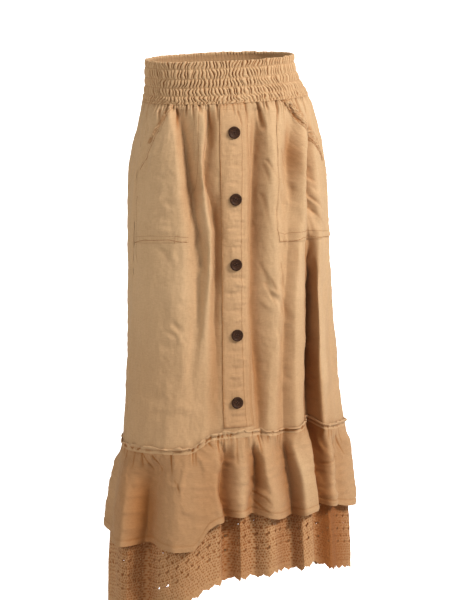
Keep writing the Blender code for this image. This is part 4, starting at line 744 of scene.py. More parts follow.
def maths(t, op, a, b=0.0, c=0.0):
    n = t.nodes.new("ShaderNodeMath"); n.operation = op
    for sock, v in zip(n.inputs, (a, b, c)):
        if isinstance(v, bpy.types.NodeSocket):
            t.links.new(v, sock)
        else:
            sock.default_value = v
    return n.outputs[0]


def ramp(t, fac, stops):
    n = t.nodes.new("ShaderNodeValToRGB")
    while len(n.color_ramp.elements) < len(stops):
        n.color_ramp.elements.new(0.5)
    for e, (p, c) in zip(n.color_ramp.elements, stops):
        e.position = p; e.color = c if len(c) == 4 else (*c, 1)
    t.links.new(fac, n.inputs[0])
    return n.outputs[0]


def scaled(t, vector, scale, rotation=(0, 0, 0)):
    m = t.nodes.new("ShaderNodeMapping"); m.inputs["Scale"].default_value = scale; m.inputs["Rotation"].default_value = rotation
    t.links.new(vector, m.inputs["Vector"])
    return m.outputs[0]


def noise_at(t, vector, scale, detail=2.0, rough=0.5, colour=False):
    n = node(t, "ShaderNodeTexNoise"); n.inputs["Scale"].default_value = scale; n.inputs["Detail"].default_value = detail
    n.inputs["Roughness"].default_value = rough
    t.links.new(vector, n.inputs["Vector"])
    return n.outputs["Color" if colour else "Fac"]


# the tint that painted shade multiplies into the cloth's colour
PAINTED_SHADE_TINT = (0.59, 0.375, 0.205)


def cloth_material(name, colour, shade, weave=0.00062, bump=0.0002, rough=0.92, sheen=0.12, thread=1.0):
    """plain weave in the cloth's own metres: crossing threads, slubs, soft uneven dye, and painted shade from each
    point's attribute
    """
    m, t, bsdf = new_material(name)
    uv = node(t, "ShaderNodeUVMap", uv_map="cloth").outputs[0]
    wob = noise_at(t, scaled(t, uv, (1, 1, 1)), 90.0, 2.0, 0.5, True)
    add = t.nodes.new("ShaderNodeVectorMath"); add.operation = "MULTIPLY_ADD"
    t.links.new(wob, add.inputs[0]); add.inputs[1].default_value = (0.0007, 0.0007, 0); t.links.new(uv, add.inputs[2])
    v = add.outputs[0]
    sep = t.nodes.new("ShaderNodeSeparateXYZ"); t.links.new(v, sep.inputs[0])
    k = 2*math.pi/weave
    wx = maths(t, "SINE", maths(t, "MULTIPLY", sep.outputs[0], k))
    wy = maths(t, "SINE", maths(t, "MULTIPLY", sep.outputs[1], k))
    over = maths(t, "MULTIPLY", wx, wy)                                # which thread lies on top
    threads = maths(t, "ADD", maths(t, "MULTIPLY", over, 0.5), 0.5)
    slub_x = noise_at(t, scaled(t, uv, (1, 26, 1)), 55.0, 2.0, 0.55)   # thick places in the threads that run round
    slub_y = noise_at(t, scaled(t, uv, (26, 1, 1)), 48.0, 2.0, 0.55)   # and in those that run down
    fuzz = noise_at(t, scaled(t, uv, (1, 1, 1)), 1500.0, 2.0, 0.6)
    cloud = noise_at(t, scaled(t, uv, (1, 1, 1)), 9.0, 3.0, 0.5)
    mottle = noise_at(t, scaled(t, uv, (1, 1.6, 1)), 210.0, 2.0, 0.6)
    slubs = maths(t, "ADD", slub_x, slub_y)
    tone = maths(t, "ADD", maths(t, "MULTIPLY", slubs, 0.36), maths(t, "MULTIPLY", cloud, 0.28))
    tone = maths(t, "ADD", tone, maths(t, "MULTIPLY", fuzz, 0.12))
    tone = maths(t, "ADD", tone, maths(t, "MULTIPLY", mottle, 0.30))
    tone = maths(t, "ADD", tone, maths(t, "MULTIPLY", threads, 0.06*thread))
    fac = maths(t, "MULTIPLY_ADD", tone, 2.6, -1.15)
    col = mix_colour(t, fac, (*shade, 1), (*colour, 1))
    # painted shade: each point's attribute darkens the colour towards the tint
    painted_shade_amount = node(t, "ShaderNodeAttribute", attribute_name="painted_shade_and_glow", attribute_type="GEOMETRY").outputs["Fac"]
    painted_shade_colour = mix_colour(t, 1.0, col, (*PAINTED_SHADE_TINT, 1), "MULTIPLY")         # painted shade: the colour multiplied by the tint as far as the attribute says
    col = mix_colour(t, painted_shade_amount, col, painted_shade_colour)
    deeper_painted_shade_colour = mix_colour(t, 1.0, col, (*PAINTED_SHADE_TINT, 1), "MULTIPLY")
    col = mix_colour(t, maths(t, "SUBTRACT", painted_shade_amount, 1.0), col, deeper_painted_shade_colour)   # and past one, darker painted shade again
    t.links.new(col, bsdf.inputs["Base Color"])
    height = maths(t, "ADD", maths(t, "MULTIPLY", threads, 0.5*thread), maths(t, "MULTIPLY", slubs, 0.9))
    height = maths(t, "ADD", height, maths(t, "MULTIPLY", fuzz, 0.5))
    b = t.nodes.new("ShaderNodeBump"); b.inputs["Strength"].default_value = 0.55; b.inputs["Distance"].default_value = bump
    t.links.new(height, b.inputs["Height"]); t.links.new(b.outputs[0], bsdf.inputs["Normal"])
    rg = maths(t, "MULTIPLY_ADD", slubs, 0.10, rough - 0.10)
    t.links.new(rg, bsdf.inputs["Roughness"])
    bsdf.inputs["Specular IOR Level"].default_value = 0.12
    bsdf.inputs["Sheen Weight"].default_value = sheen
    bsdf.inputs["Sheen Roughness"].default_value = 0.55
    bsdf.inputs["Sheen Tint"].default_value = (1.0, 0.86, 0.70, 1)
    return m


TAN = (0.585, 0.406, 0.243)
TAN_SHADE = (0.455, 0.298, 0.160)
CLOTH = cloth_material("sand_cotton", TAN, TAN_SHADE)
BAND_CLOTH = cloth_material("sand_cotton_shirred", (0.600, 0.418, 0.250), (0.460, 0.300, 0.158))
# the lace's colour is set darker than the cloth's as painted shade: the flounce's shadow and the holes' darkness
LACE = cloth_material("sand_lace", (0.52, 0.312, 0.162), (0.41, 0.236, 0.116), weave=0.0009, bump=0.00035, rough=0.95, sheen=0.08)
# the thread's colour is set darker than the cloth's: painted shade of the stitch grooves
THREAD_WITH_PAINTED_SHADE = cloth_material("sand_thread_painted_shade", (0.40, 0.240, 0.120), (0.32, 0.180, 0.085), weave=0.0004, bump=0.0001, rough=0.8, sheen=0.1)


def horn_material():
    m, t, bsdf = new_material("dark_horn")
    co = node(t, "ShaderNodeTexCoord").outputs["Object"]
    streak = noise_at(t, scaled(t, co, (60, 60, 400)), 3.0, 4.0, 0.6)
    fleck = noise_at(t, scaled(t, co, (1, 1, 1)), 900.0, 3.0, 0.6)
    f = maths(t, "ADD", maths(t, "MULTIPLY", streak, 0.7), maths(t, "MULTIPLY", fleck, 0.3))
    col = ramp(t, f, ((0.30, (0.022, 0.011, 0.006)), (0.50, (0.055, 0.026, 0.014)), (0.62, (0.11, 0.052, 0.026)), (0.78, (0.18, 0.09, 0.045))))
    t.links.new(col, bsdf.inputs["Base Color"])
    rg = maths(t, "MULTIPLY_ADD", fleck, 0.25, 0.38)
    t.links.new(rg, bsdf.inputs["Roughness"])
    b = t.nodes.new("ShaderNodeBump"); b.inputs["Strength"].default_value = 0.25; b.inputs["Distance"].default_value = 0.0002
    t.links.new(f, b.inputs["Height"]); t.links.new(b.outputs[0], bsdf.inputs["Normal"])
    bsdf.inputs["Specular IOR Level"].default_value = 0.16
    return m


HORN = horn_material()
COTTON = cloth_material("button_thread", (0.10, 0.055, 0.040), (0.06, 0.032, 0.024), weave=0.0003, bump=0.0001, rough=0.85, sheen=0.1)


# ================================================================ stitches
def stitches(name, runs, mat, pitch=3.0, length=2.1, radius=0.24):
    """each run is a list of points (mm) with outward directions; one small capsule per stitch, all in one mesh"""
    pts, faces, base = [], [], 0
    sides = 5
    for P, N in runs:
        seg = np.linalg.norm(np.diff(P, axis=0), axis=1); c = np.concatenate([[0], np.cumsum(seg)])
        n = int(c[-1]/pitch)
        if n < 1:
            continue
        at = (np.arange(n) + 0.5)*c[-1]/n
        a = np.stack([np.interp(at - length/2, c, P[:, k]) for k in range(3)], 1)
        b = np.stack([np.interp(at + length/2, c, P[:, k]) for k in range(3)], 1)
        nn = np.stack([np.interp(at, c, N[:, k]) for k in range(3)], 1); nn /= np.linalg.norm(nn, axis=1, keepdims=True)
        d = b - a; d /= np.linalg.norm(d, axis=1, keepdims=True)
        w = np.cross(nn, d); w /= np.linalg.norm(w, axis=1, keepdims=True); up = np.cross(d, w)
        mid = nn*radius*0.9
        ring = []
        ring.append((a - nn*radius*0.6)[:, None])
        for f in (0.22, 0.78):
            q = a + (b-a)*f + mid
            for k in range(sides):
                th = 2*math.pi*k/sides
                ring.append((q + w*math.cos(th)*radius*1.25 + up*math.sin(th)*radius)[:, None])
        ring.append((b - nn*radius*0.6)[:, None])
        V = np.concatenate(ring, 1)                                   # n, 12, 3
        f = []
        for k in range(sides):
            k2 = (k+1) % sides
            f.append((0, 1+k2, 1+k)); f.append((1+k, 1+k2, 6+k2)); f.append((1+k, 6+k2, 6+k)); f.append((6+k, 6+k2, 11))
        F = (np.array(f)[None] + (np.arange(n)*12)[:, None, None]).reshape(-1, 3) + base
        pts.append(V.reshape(-1, 3)); faces.append(F); base += n*12
    P = np.concatenate(pts); F = np.concatenate(faces)
    uv = np.stack([P[:, 0]*MM, P[:, 2]*MM], 1)
    return mesh_object(name, P, F, uv, mat)


def surfaces_of(obs):
    """what a sewn line is laid on: the visible meshes themselves"""
    trees = []
    for ob in obs:
        me = ob.data
        co = np.empty(len(me.vertices)*3); me.vertices.foreach_get("co", co)
        trees.append(BVHTree.FromPolygons(co.reshape(-1, 3).tolist(), [tuple(p.vertices) for p in me.polygons]))
    return trees


def run_on(kind, us, trees, wander=0.0, seed=0):
    """a sewn line along (turn, down) corners, laid on the nearest surface outside the layer"""
    us = np.array(us, float)
    seg = np.hypot(np.diff(us[:, 0])*1080, np.diff(us[:, 1])); c = np.concatenate([[0], np.cumsum(seg)])
    n = max(3, int(c[-1]/1.3))
    q = np.linspace(0, c[-1], n)
    u = np.interp(q, c, us[:, 0]); s = np.interp(q, c, us[:, 1])
    if wander:
        u = u + wander/1080*noise(q/11.0, q*0 + 0.5, 140 + seed, 97); s = s + wander*noise(q/14.0, q*0 + 0.5, 170 + seed, 97)
    P, N = frames(kind, u, s)
    out = P.copy()
    for k in range(n):
        o = Vector((P[k] + N[k]*9.0)*MM); d = Vector(-N[k]); best = 0.014
        for tree in trees:
            hit, _, _, dist = tree.ray_cast(o, d, best)
            if hit is not None and dist < best:
                best = dist
        out[k] = P[k] + N[k]*(9.0 - (best if best < 0.014 else 0.0075)/MM)
    return out, N


def painted_groove_shadows(name, runs, mat, strengths, lift=0.10):
    """a painted shadow for the needle's groove: a narrow ribbon along each run, darkened with painted shade"""
    pts, faces, tone, base = [], [], [], 0
    for (P, N), strength in zip(runs, strengths):
        width = 0.75 + 0.45*strength
        d = np.gradient(P, axis=0); d /= np.maximum(np.linalg.norm(d, axis=1, keepdims=True), 1e-9)
        w = np.cross(N, d); w /= np.linalg.norm(w, axis=1, keepdims=True)
        n = len(P)
        taper = np.minimum(1, np.minimum(np.arange(n), n - 1 - np.arange(n))/2.0 + 0.2)[:, None]
        rows = np.stack([P - w*width/2*taper - N*0.15, P - w*width*0.28*taper + N*lift, P + w*width*0.28*taper + N*lift, P + w*width/2*taper - N*0.15], 1)
        faces.append(grid_faces(n, 4, False, True) + base); pts.append(rows.reshape(-1, 3)); base += 4*n
        tone.append(np.repeat(1.25*strength*np.clip(taper[:, 0], 0.35, 1), 4))
    P = np.concatenate(pts)
    return mesh_object(name, P, np.concatenate(faces), np.stack([P[:, 0]*MM, P[:, 2]*MM], 1), mat, painted_shade_and_glow=np.concatenate(tone))


PIECES = []


def keep(ob, slot_name, *nodes):
    """ride on the only body and stand for the plain solids; slot_name is not used"""
    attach(ob, "root")
    if nodes:
        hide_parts(*nodes)
    PIECES.append(ob)
    return ob


# ================================================================ the waistband
LEAN = (0.3, -0.6, -0.35, -0.7, -0.2, 0.4)           # which way each channel's puckers slant


def band_height(u, s, seed=5):
    """puckers between the stitched rows: round slanting ridges with narrow deep gaps, each channel its own;
    returns the height and the painted shade in the gaps"""
    rng = np.random.RandomState(seed)
    n = 124
    edges = (BAND_TOP - 3.0,) + SHIRR_ROWS + (61.0,)
    base = (np.arange(n) + 0.34*(rng.rand(n) - 0.5))/n
    out = np.zeros(u.shape); painted_gap_shade = np.zeros(u.shape)
    for c in range(len(edges) - 1):
        a, b = edges[c], edges[c+1]
        bound = np.sort(np.mod(base + 0.62*(rng.rand(n) - 0.5)/n, 1.0))
        amp = 0.70 + 0.50*rng.rand(n)
        cleft = 0.45 + 0.75*rng.rand(n)                                # how deep the gap at each boundary is
        sel = (s >= a) & (s < b)
        if not sel.any():
            continue
        uu = u[sel]; t = (s[sel] - a)/(b - a)
        lean = 0.50/n*(LEAN[c] + 1.2*noise(uu*30, np.full(uu.shape, c*3.1), 70 + c, 30))
        curl = 0.16/n*np.sin(2*np.pi*t + 5.0*noise(uu*22, np.full(uu.shape, c*2.3), 76 + c, 22))
        w = np.mod(uu + lean*(t - 0.5)*2 + curl + 0.20/n*noise(uu*67, t*2.2 + c*5, 71, 67), 1.0)
        j = np.searchsorted(bound, w) - 1                              # -1 wraps to the last
        lo = np.where(j >= 0, bound[j], bound[-1] - 1); hi = np.where(j + 1 < n, bound[(j+1) % n], bound[0] + 1)
        f = np.clip((w - lo)/(hi - lo), 0, 1)
        left, right = cleft[j], cleft[(j+1) % n]
        h = (1 - np.abs(2*f - 1)**1.9)**0.75
        depth = left*(1 - step(f*1.4)) + right*step(1.4*f - 0.4)
        first = c == 0; last = c == len(edges) - 2
        env = np.sin(np.pi*np.clip(t, 0, 1))**0.45
        if first:
            env = np.where(t < 0.5, 0.85 + 0.15*np.sin(np.pi*t), env)
        if last:
            env = 0.8*step((1 - t)/0.4)
        wide = np.clip((hi - lo)*n, 0.4, 1.6)
        swell = (0.7 if first else 0.5)*np.sin(np.pi*np.clip(t, 0, 1))**0.6
        if first:
            swell = np.where(t < 0.5, 0.7, swell)
        if last:
            swell = 0.2*np.ones(t.shape)
        ridge = 1.5*amp[j]*wide**0.5
        out[sel] = swell + env*(ridge*h - (1 - h)**1.4*3.4*depth + 0.25)
        painted_gap_shade[sel] = env*np.clip((1 - h)**1.1*depth*1.5, 0, 1)
    return out, painted_gap_shade


def make_waistband():
    cols, rows = 1100, 54
    u = (np.arange(cols) + 0.5)/cols - 0.5
    s = np.linspace(BAND_TOP, BAND_END + 1.2, rows)
    U, S = np.meshgrid(u, s)
    wave = 0.9*noise(u*75, np.zeros(cols) + 0.5, 80, 75) + 0.5*noise(u*150, np.zeros(cols) + 3.5, 81, 150)
    S = S + wave[None]*step((0 - S)/10.0)
    H, painted_gap_shade = band_height(U, S)
    row_gap = np.min(np.abs(S[None] - np.array(SHIRR_ROWS)[:, None, None]), 0)
    # painted shade along the stitched rows
    painted_gap_shade = np.maximum(painted_gap_shade, 0.30*np.exp(-(row_gap/1.1)**2))
    tail = step((S - 56.5)/3.0)
    H = H*(1 - tail) + tail*(-0.1)
    P, N = frames("body", U, S)
    outer = P + N*(0.9 + H)[..., None]
    # over the top edge and a little way down inside, then the plain inside of the channels
    top_h = 0.9 + H[0]
    rolls = []
    for lift, f in ((0.9, 0.8), (1.3, 0.45), (1.25, 0.1), (0.7, -0.3), (-0.6, -0.75)):
        q = P[0] + N[0]*(top_h*f + (-1.1)*(1-f)*0.6 - 0.2)[:, None]
        q = q + np.array([0, 0, 1.0])*lift
        rolls.append(q)
    inside = []
    for k, si in enumerate((-6, 0, 8, 16.5, 24, 31, 38, 44.5, 50, 56)):
        ui = u; ss = np.full(cols, float(si))
        pk = 0.8*np.sin(ui*2*math.pi*96 + k)*0.5 if si not in (0, 16.5, 31, 44.5) else 0*ui
        p, n = frames("body", ui, ss)
        inside.append(p + n*(-1.3 + pk)[:, None])
    grid = np.concatenate([np.array(inside)[::-1], np.array(rolls)[::-1], outer], 0)
    R = grid.shape[0]
    down = np.concatenate([np.array([56, 50, 44.5, 38, 31, 24, 16.5, 8, 0, -6.0]), np.full(5, BAND_TOP), np.linspace(BAND_TOP, BAND_END + 1.2, rows)])
    L = 1.35*760*MM
    uv = np.stack([np.broadcast_to(u*L, (R, cols)), np.broadcast_to(-down[:, None]*MM, (R, cols))], -1)
    # painted shade: inside the band, over the top roll, in the gaps and on the strip below the band
    painted_shade_amount = np.concatenate([np.full((10, cols), 0.35), np.repeat(0.6*painted_gap_shade[:1], 5, 0), np.clip(painted_gap_shade + 0.6*tail, 0, 1)], 0)
    ob = mesh_object("waistband_shirred", grid, grid_faces(R, cols, True), uv, BAND_CLOTH, painted_shade_and_glow=painted_shade_amount)
    keep(ob, "waist_cloth", "waistband")
    runs = []
    for r in SHIRR_ROWS:
        q = np.linspace(-0.5, 0.5, 700)
        p, n = surface("body", q, np.full(700, r), np.full(700, 0.95) + 0.25*np.maximum(0, band_height(q, np.full(700, r))[0]))
        runs.append((p, n))
    st = stitches("waistband_stitches", runs, THREAD_WITH_PAINTED_SHADE, 3.4, 2.3, 0.22)
    keep(st, "waist_cloth")
    return ob


# ================================================================ the panels
PANEL_OFF = 0.7


def panel_height(u, s):
    return PANEL_OFF + body_detail(u, s)


def seam_painted_shade(u, s):
    """painted shade beside whatever is sewn on: the pocket edges and the lap"""
    out = np.zeros(u.shape)
    for line, much in ((PLACKET_RIGHT, 0.30), (PLACKET_LEFT, 0.30), (POCKET_LEFT_IN, 0.06), (POCKET_RIGHT_IN, 0.16), (TRIM_LEFT[0], 0.2), (TRIM_RIGHT[1], 0.45)):
        q = np.array(line, float)
        x = near(u, np.interp(s, q[:, 1], q[:, 0]))*1080
        out += much*np.exp(-np.abs(x)/1.8)*((s > q[0, 1] - 1) & (s < q[-1, 1] + 1))
    return out


def panel_rows():
    a = 57.0 + np.concatenate([np.linspace(0, 46, 30)[:-1], np.linspace(46, 590, 212)])
    return (a - 57.0)/590.0


def make_panel(name, first, last, spacing, *nodes):
    where = column_list(BODY_FOLDS, BODY_TURNS, "body", (70, 150, 300, 450, 600), spacing, first, last)
    v = panel_rows()
    s = np.repeat(57.0 + 590*v[:, None], len(where), 1)
    for _ in range(2):
        u = column_turns(BODY_TURNS, where, s)
        end = round_line(SEAM, u) + 5.0
        s = 56.6 + (end - 56.6)*v[:, None]
    u = column_turns(BODY_TURNS, where, s)
    P, N = surface("body", u, s, panel_height(u, s))
    ob = mesh_object(name, P, grid_faces(*s.shape), arc_uv(P, s), CLOTH, painted_shade_and_glow=body_painted_shade(u, s) + seam_painted_shade(u, s))
    keep(ob, "skirt_cloth", *nodes)
    return ob, u, s


def patch(name, inner, outer, thick, na, nb, rim=1.6, pucker=0.22, seed=0, extra=None, painted_lump_shade=0.0, tone=0.0):
    """a patch between two (turn, down) edges, with its four sides rounded down to the panel"""
    inner = np.array(inner, float); outer = np.array(outer, float)
    def along(E, b):
        seg = np.hypot(np.diff(E[:, 0])*1080, np.diff(E[:, 1])); c = np.concatenate([[0], np.cumsum(seg)])/seg.sum()
        return np.interp(b, c, E[:, 0]), np.interp(b, c, E[:, 1])
    b = np.linspace(0, 1, nb); a = np.linspace(0, 1, na)
    ui, si = along(inner, b); uo, so = along(outer, b)
    U = ui[:, None] + (uo - ui)[:, None]*a; S = si[:, None] + (so - si)[:, None]*a
    # distance to the nearest side, in millimetres
    base = layer("body", U, S)
    da = np.linalg.norm(np.diff(base, axis=1), axis=2); db = np.linalg.norm(np.diff(base, axis=0), axis=2)
    ca = np.concatenate([np.zeros((nb, 1)), np.cumsum(da, 1)], 1); cb = np.concatenate([np.zeros((1, na)), np.cumsum(db, 0)], 0)
    edge = np.minimum(np.minimum(ca, ca[:, -1:] - ca), np.minimum(cb, cb[-1:] - cb))
    t = thick*np.sqrt(np.clip(edge/rim, 0, 1))
    pk = pucker*noise(U*330, S/3.4, 90 + seed, 330)*np.exp(-np.maximum(edge - 2, 0)/6.0)
    groove = -0.30*np.exp(-((edge - 3.0)/0.8)**2)
    H = panel_height(U, S) + t + (pk + groove)*np.clip(edge/rim, 0, 1)
    if extra is not None:
        more = extra(U, S, ca, cb)
        H = H + more
    P, N = surface("body", U, S, H)
    # tuck the outermost points under
    ring = np.zeros((nb, na), bool); ring[[0, -1]] = True; ring[:, [0, -1]] = True
    P[ring] = (P - N*0.9)[ring]
    flip = uo.mean() < ui.mean()
    # painted shade: the panel's own, an even amount given per patch, a line along the groove inside the edge, and more
    # in the low places between the lumps
    painted_shade_amount = body_painted_shade(U, S) + tone + 0.45*np.exp(-((edge - 3.0)/1.1)**2)*0.4
    if painted_lump_shade:
        painted_shade_amount = painted_shade_amount + painted_lump_shade*np.clip(1.0 - more, 0, 1.0)
    ob = mesh_object(name, P, grid_faces(nb, na, False, flip), arc_uv(P, S), CLOTH, painted_shade_and_glow=painted_shade_amount)
    return ob



# ================================================================ placket, pockets, trims
SEWN_AT = (57.4, 80, 105, 140, 180, 215, 260, 320, 390, 460, 530, 580, 612)
PLACKET_LEFT = [(np.interp(s, DOWN_TABLE, BODY_TURNS[LINE["placket_side"]]), s) for s in SEWN_AT]
PLACKET_RIGHT = [(np.interp(s, DOWN_TABLE, BODY_TURNS[LINE["placket_edge"]]), s) for s in SEWN_AT]
POCKET_LEFT_IN = ((-0.0795, 57.4), (-0.0795, 75), (-0.0775, 184), (-0.0875, 289))
POCKET_LEFT_OUT = ((-0.1310, 57.4), (-0.1600, 106), (-0.2012, 172), (-0.2012, 240), (-0.2012, 298))
POCKET_RIGHT_IN = ((0.0885, 57.4), (0.0740, 110), (0.0698, 150), (0.0640, 278), (0.0690, 299))
POCKET_RIGHT_OUT = ((0.1040, 57.4), (0.1700, 127), (0.2384, 200), (0.2384, 260), (0.2384, 312))
TRIM_LEFT = (((-0.1435, 57.4), (-0.1620, 95), (-0.1790, 124)), ((-0.1316, 57.4), (-0.1500, 90), (-0.1716, 124)))
TRIM_RIGHT = (((0.1046, 57.4), (0.1400, 100), (0.1780, 142), (0.2125, 174)), ((0.1300, 57.4), (0.1630, 95), (0.2000, 134), (0.2270, 174)))


def placket_extra(u, s, across, down):
    """the lap's folded edge, the sewn line 11 mm inside it, and the cloth's small ripples between"""
    width = across[:, -1:]
    right = width - across
    out = -0.45*np.exp(-((right - 11.0)/0.9)**2) + 0.25*np.exp(-((right - 13.5)/1.6)**2)
    out += 0.35*np.exp(-((right - 5.0)/4.0)**2)
    out += 0.22*noise(u*60, s/5.2, 101, 60)*step(across/6)*step(right/3)
    out += 0.10*noise(u*240, s/3.0, 102, 240)
    return out


def pocket_extra(u, s, across, down):
    w = across[:, -1:]; h = down[-1:]
    up = h - down
    out = -0.35*np.exp(-((up - 8.5)/0.8)**2)
    out += 0.35*noise(u*180, s/7.0, 111, 180)*np.exp(-np.maximum(up - 6, 0)/9.0)
    out += 0.30*noise(u*200, s/6.0, 112, 200)*np.exp(-np.maximum(w - across - 3, 0)/9.0)
    return out


def ruched_extra(seed, ends):
    """cloth drawn up into small round lumps, uneven, most of all where the band's ends say"""
    def f(u, s, across, down):
        w = across[:, -1:]; share = down/np.maximum(down[-1:], 1e-6)
        mid = np.clip(1 - (2*across/np.maximum(w, 1e-6) - 1)**2, 0, 1)
        x = down/3.0 + 1.3*noise(u*70, s/7.0, seed, 70); y = across/2.9 + 1.3*noise(u*90, s/6.0, seed + 2, 90)
        lumps = (0.5 + 0.5*np.sin(np.pi*x)*np.sin(np.pi*(y + 0.5*np.floor(x)))) + 0.8*noise(u*260, s/2.8, seed + 1, 260)
        much = np.interp(share, [a for a, b in ends], [b for a, b in ends])
        return mid**0.5*(0.25 + 1.35*np.clip(lumps, 0, 1.3))*much
    return f


# ================================================================ the flounce
FRILL_PATH = ((-3.4, 1.6), (-5.0, 2.0), (-6.4, 2.6), (-7.0, 3.5), (-6.6, 4.3), (-5.5, 4.7), (-4.3, 4.5), (-3.1, 3.7), (-2.0, 2.6), (-1.0, 1.6), (0.0, 1.15), (1.0, 1.3), (2.2, 1.7), (3.8, 1.95))


# deep needle pits of the flounce's seam: turn, width in millimetres
PITS = ((-0.1990, 2.8), (-0.1950, 3.0), (-0.1690, 3.0), (-0.1640, 2.4), (-0.1560, 3.4), (-0.0782, 2.8), (-0.0732, 3.0), (-0.0652, 3.8), (-0.0562, 4.4),
        (-0.0480, 2.6), (-0.0360, 3.4), (-0.0300, 3.0), (-0.0230, 2.2), (-0.0170, 2.6), (-0.0090, 2.2), (0.0020, 3.0), (0.0150, 2.2), (0.0330, 2.2), (0.0470, 2.4), (0.0590, 2.2),
        (0.0740, 2.2), (0.0880, 2.6), (0.1600, 2.4), (0.1790, 2.6), (0.1980, 2.4), (0.2180, 2.6))


def pit_row(u):
    """the pits of the seam at each turn: those listed in front, an uneven run of them behind"""
    out = np.zeros(u.shape)
    rng = np.random.RandomState(77)
    rows = list(PITS) + [(0.245 + 0.545*(k + 0.7*rng.rand())/54, 1.9 + 1.6*rng.rand()) for k in range(54)]
    for t, w in rows:
        out = np.maximum(out, bell(near(u, t)*1250.0/w))
    return out


def make_flounce():
    where = column_list(RUFFLE_FOLDS, RUFFLE_TURNS, "ruffle", (690, 740, 800), FINE*1.9, 0, len(RUFFLE_FOLDS))
    n = len(where)
    frill = np.array(FRILL_PATH)
    nf = len(frill)
    v = np.concatenate([np.linspace(0, 0.30, int(34/FINE))[1:], np.linspace(0.30, 1.0, int(58/FINE))[1:]])
    rows = nf + len(v) + 3
    s = np.full((rows, n), 700.0)
    u = column_turns(RUFFLE_TURNS, where, s)
    for _ in range(3):
        seam = round_line(SEAM, u[nf - 4]) ; hem = round_line(HEM, u[-4])
        high = 1 + 0.38*noise(u[0]*150, np.zeros(n) + 0.4, 51, 150) + 0.30*noise(u[0]*75, np.zeros(n) + 4.4, 52, 75)
        sway = 1.5*noise(u[0]*62, np.zeros(n) + 0.9, 57, 62) + 1.0*noise(u[0]*128, np.zeros(n) + 3.9, 58, 128)
        top = np.where(frill[:, :1] < -1, frill[:, :1]*high, frill[:, :1]) + sway*step((-frill[:, :1] - 0.5)/3.0)
        s[:nf] = seam + top
        s[nf:nf+len(v)] = seam + 3.8 + (hem - seam - 3.8)*v[:, None]
        s[-3] = hem + 0.1; s[-2] = hem - 1.2; s[-1] = hem - 7.0
        u = column_turns(RUFFLE_TURNS, where, s)
    off = np.zeros(s.shape)
    y = s - round_line(SEAM, u)
    lean = 1 + 0.42*noise(u[:nf]*140, np.zeros((nf, n)) + 2.2, 53, 140) + 0.25*noise(u[:nf]*70, np.zeros((nf, n)) + 6.2, 55, 70)
    off[:nf] = np.where(frill[:, 1:] > 2.6, frill[:, 1:]*lean, frill[:, 1:])
    off[:nf] += step(-y[:nf]/3.0)*(1.0*noise(u[:nf]*210, y[:nf]/5.0, 54, 210))
    dent = pit_row(u[0])
    off[nf-9:nf] -= dent[None]*1.5
    body = slice(nf, rows)
    off[body] = flounce_detail(u[body], s[body])
    pit = gather_out(FLOUNCE_GATHER_ROWS, u[nf-4:nf], np.maximum(y[nf-4:nf], 0), 1250.0)*step((y[nf-4:nf] + 1.2)/1.2)
    off[nf-4:nf] += pit*0.8
    off[:nf] = np.maximum(off[:nf], 1.0)
    off = np.maximum(off, 0.9)
    off[-2] = off[-3] - 0.9; off[-1] = off[-3] - 1.3
    P, N = surface("ruffle", u, s, off)
    # painted shade on the flounce: an even amount all over, more on the front left, the listed patches, fold occlusion,
    # the gathers, the needle pits, under the frill and along the hem's sewn line
    painted_shade_amount = np.zeros(s.shape)
    painted_pit_shade = np.clip(0.30 + 0.55*noise(u*120, np.zeros(s.shape) + 1.7, 56, 120) + 1.7*dent[None], 0, 1.9)
    painted_shade_amount[body] = 0.36 + 0.12*step((-0.03 - near(u[body], 0))/0.02)*step((near(u[body], 0) + 0.23)/0.02) + painted_shade_patches(FLOUNCE_PAINTED_SHADES, u[body], s[body]) + 1.15*fold_occlusion_at("ruffle", u[body], s[body]) + 0.50*np.clip(-flounce_cuts(u[body], s[body], y[body])/2.6, 0, 1.2) + painted_pit_shade[body]*np.exp(-np.maximum(y[body] - 1.0, 0)/2.0)*1.2
    painted_shade_amount[:nf] = 0.12 + 0.5*fold_occlusion_at("ruffle", u[:nf], s[:nf]) + 1.35*np.exp(-((y[:nf] + 0.5)/2.4)**2)*painted_pit_shade[:nf]
    up = round_line(HEM, u) - s
    painted_shade_amount += 0.22*np.exp(-((up - 11.0)/1.2)**2)
    ob = mesh_object("flounce", P, grid_faces(*s.shape), arc_uv(P, s), CLOTH, painted_shade_and_glow=painted_shade_amount)
    keep(ob, "skirt_cloth", "flounce_front", "flounce_back")
    q = np.linspace(u.min(), u.min() + 1, 1400)
    sh = round_line(HEM, q) - 11.0
    runs = [surface("ruffle", q, sh, flounce_detail(q, sh) + 0.12)]
    st = stitches("flounce_hem_stitches", runs, THREAD_WITH_PAINTED_SHADE, 3.2, 2.3, 0.22); keep(st, "skirt_cloth")
    sq = round_line(SEAM, q)
    runs = [surface("ruffle", q, sq, np.full(q.shape, 1.45) + 0.6*np.minimum(0, gather_out(FLOUNCE_GATHER_ROWS, q, np.zeros(q.shape), 1250.0))*0.5)]
    st = stitches("flounce_seam_stitches", runs, THREAD_WITH_PAINTED_SHADE, 3.4, 2.4, 0.26); keep(st, "skirt_cloth")
    return ob


# ================================================================ the lace
# One repeat is charted on a mesh of 19 by 22 small cells: a ring round a pair of eyes, in a ground of small sunk dots.
CELL, BACK_CELL = 1.17, 1.56
WIDE, TALL = 19, 22
# the open holes of one repeat: left, top, cells wide, cells high, how far they open
EYES = ((7, 8, 2, 3, 1.7), (10, 10, 2, 3, 1.7), (17, 20, 2, 2, 1.1), (8, 20, 2, 1, 0.9))
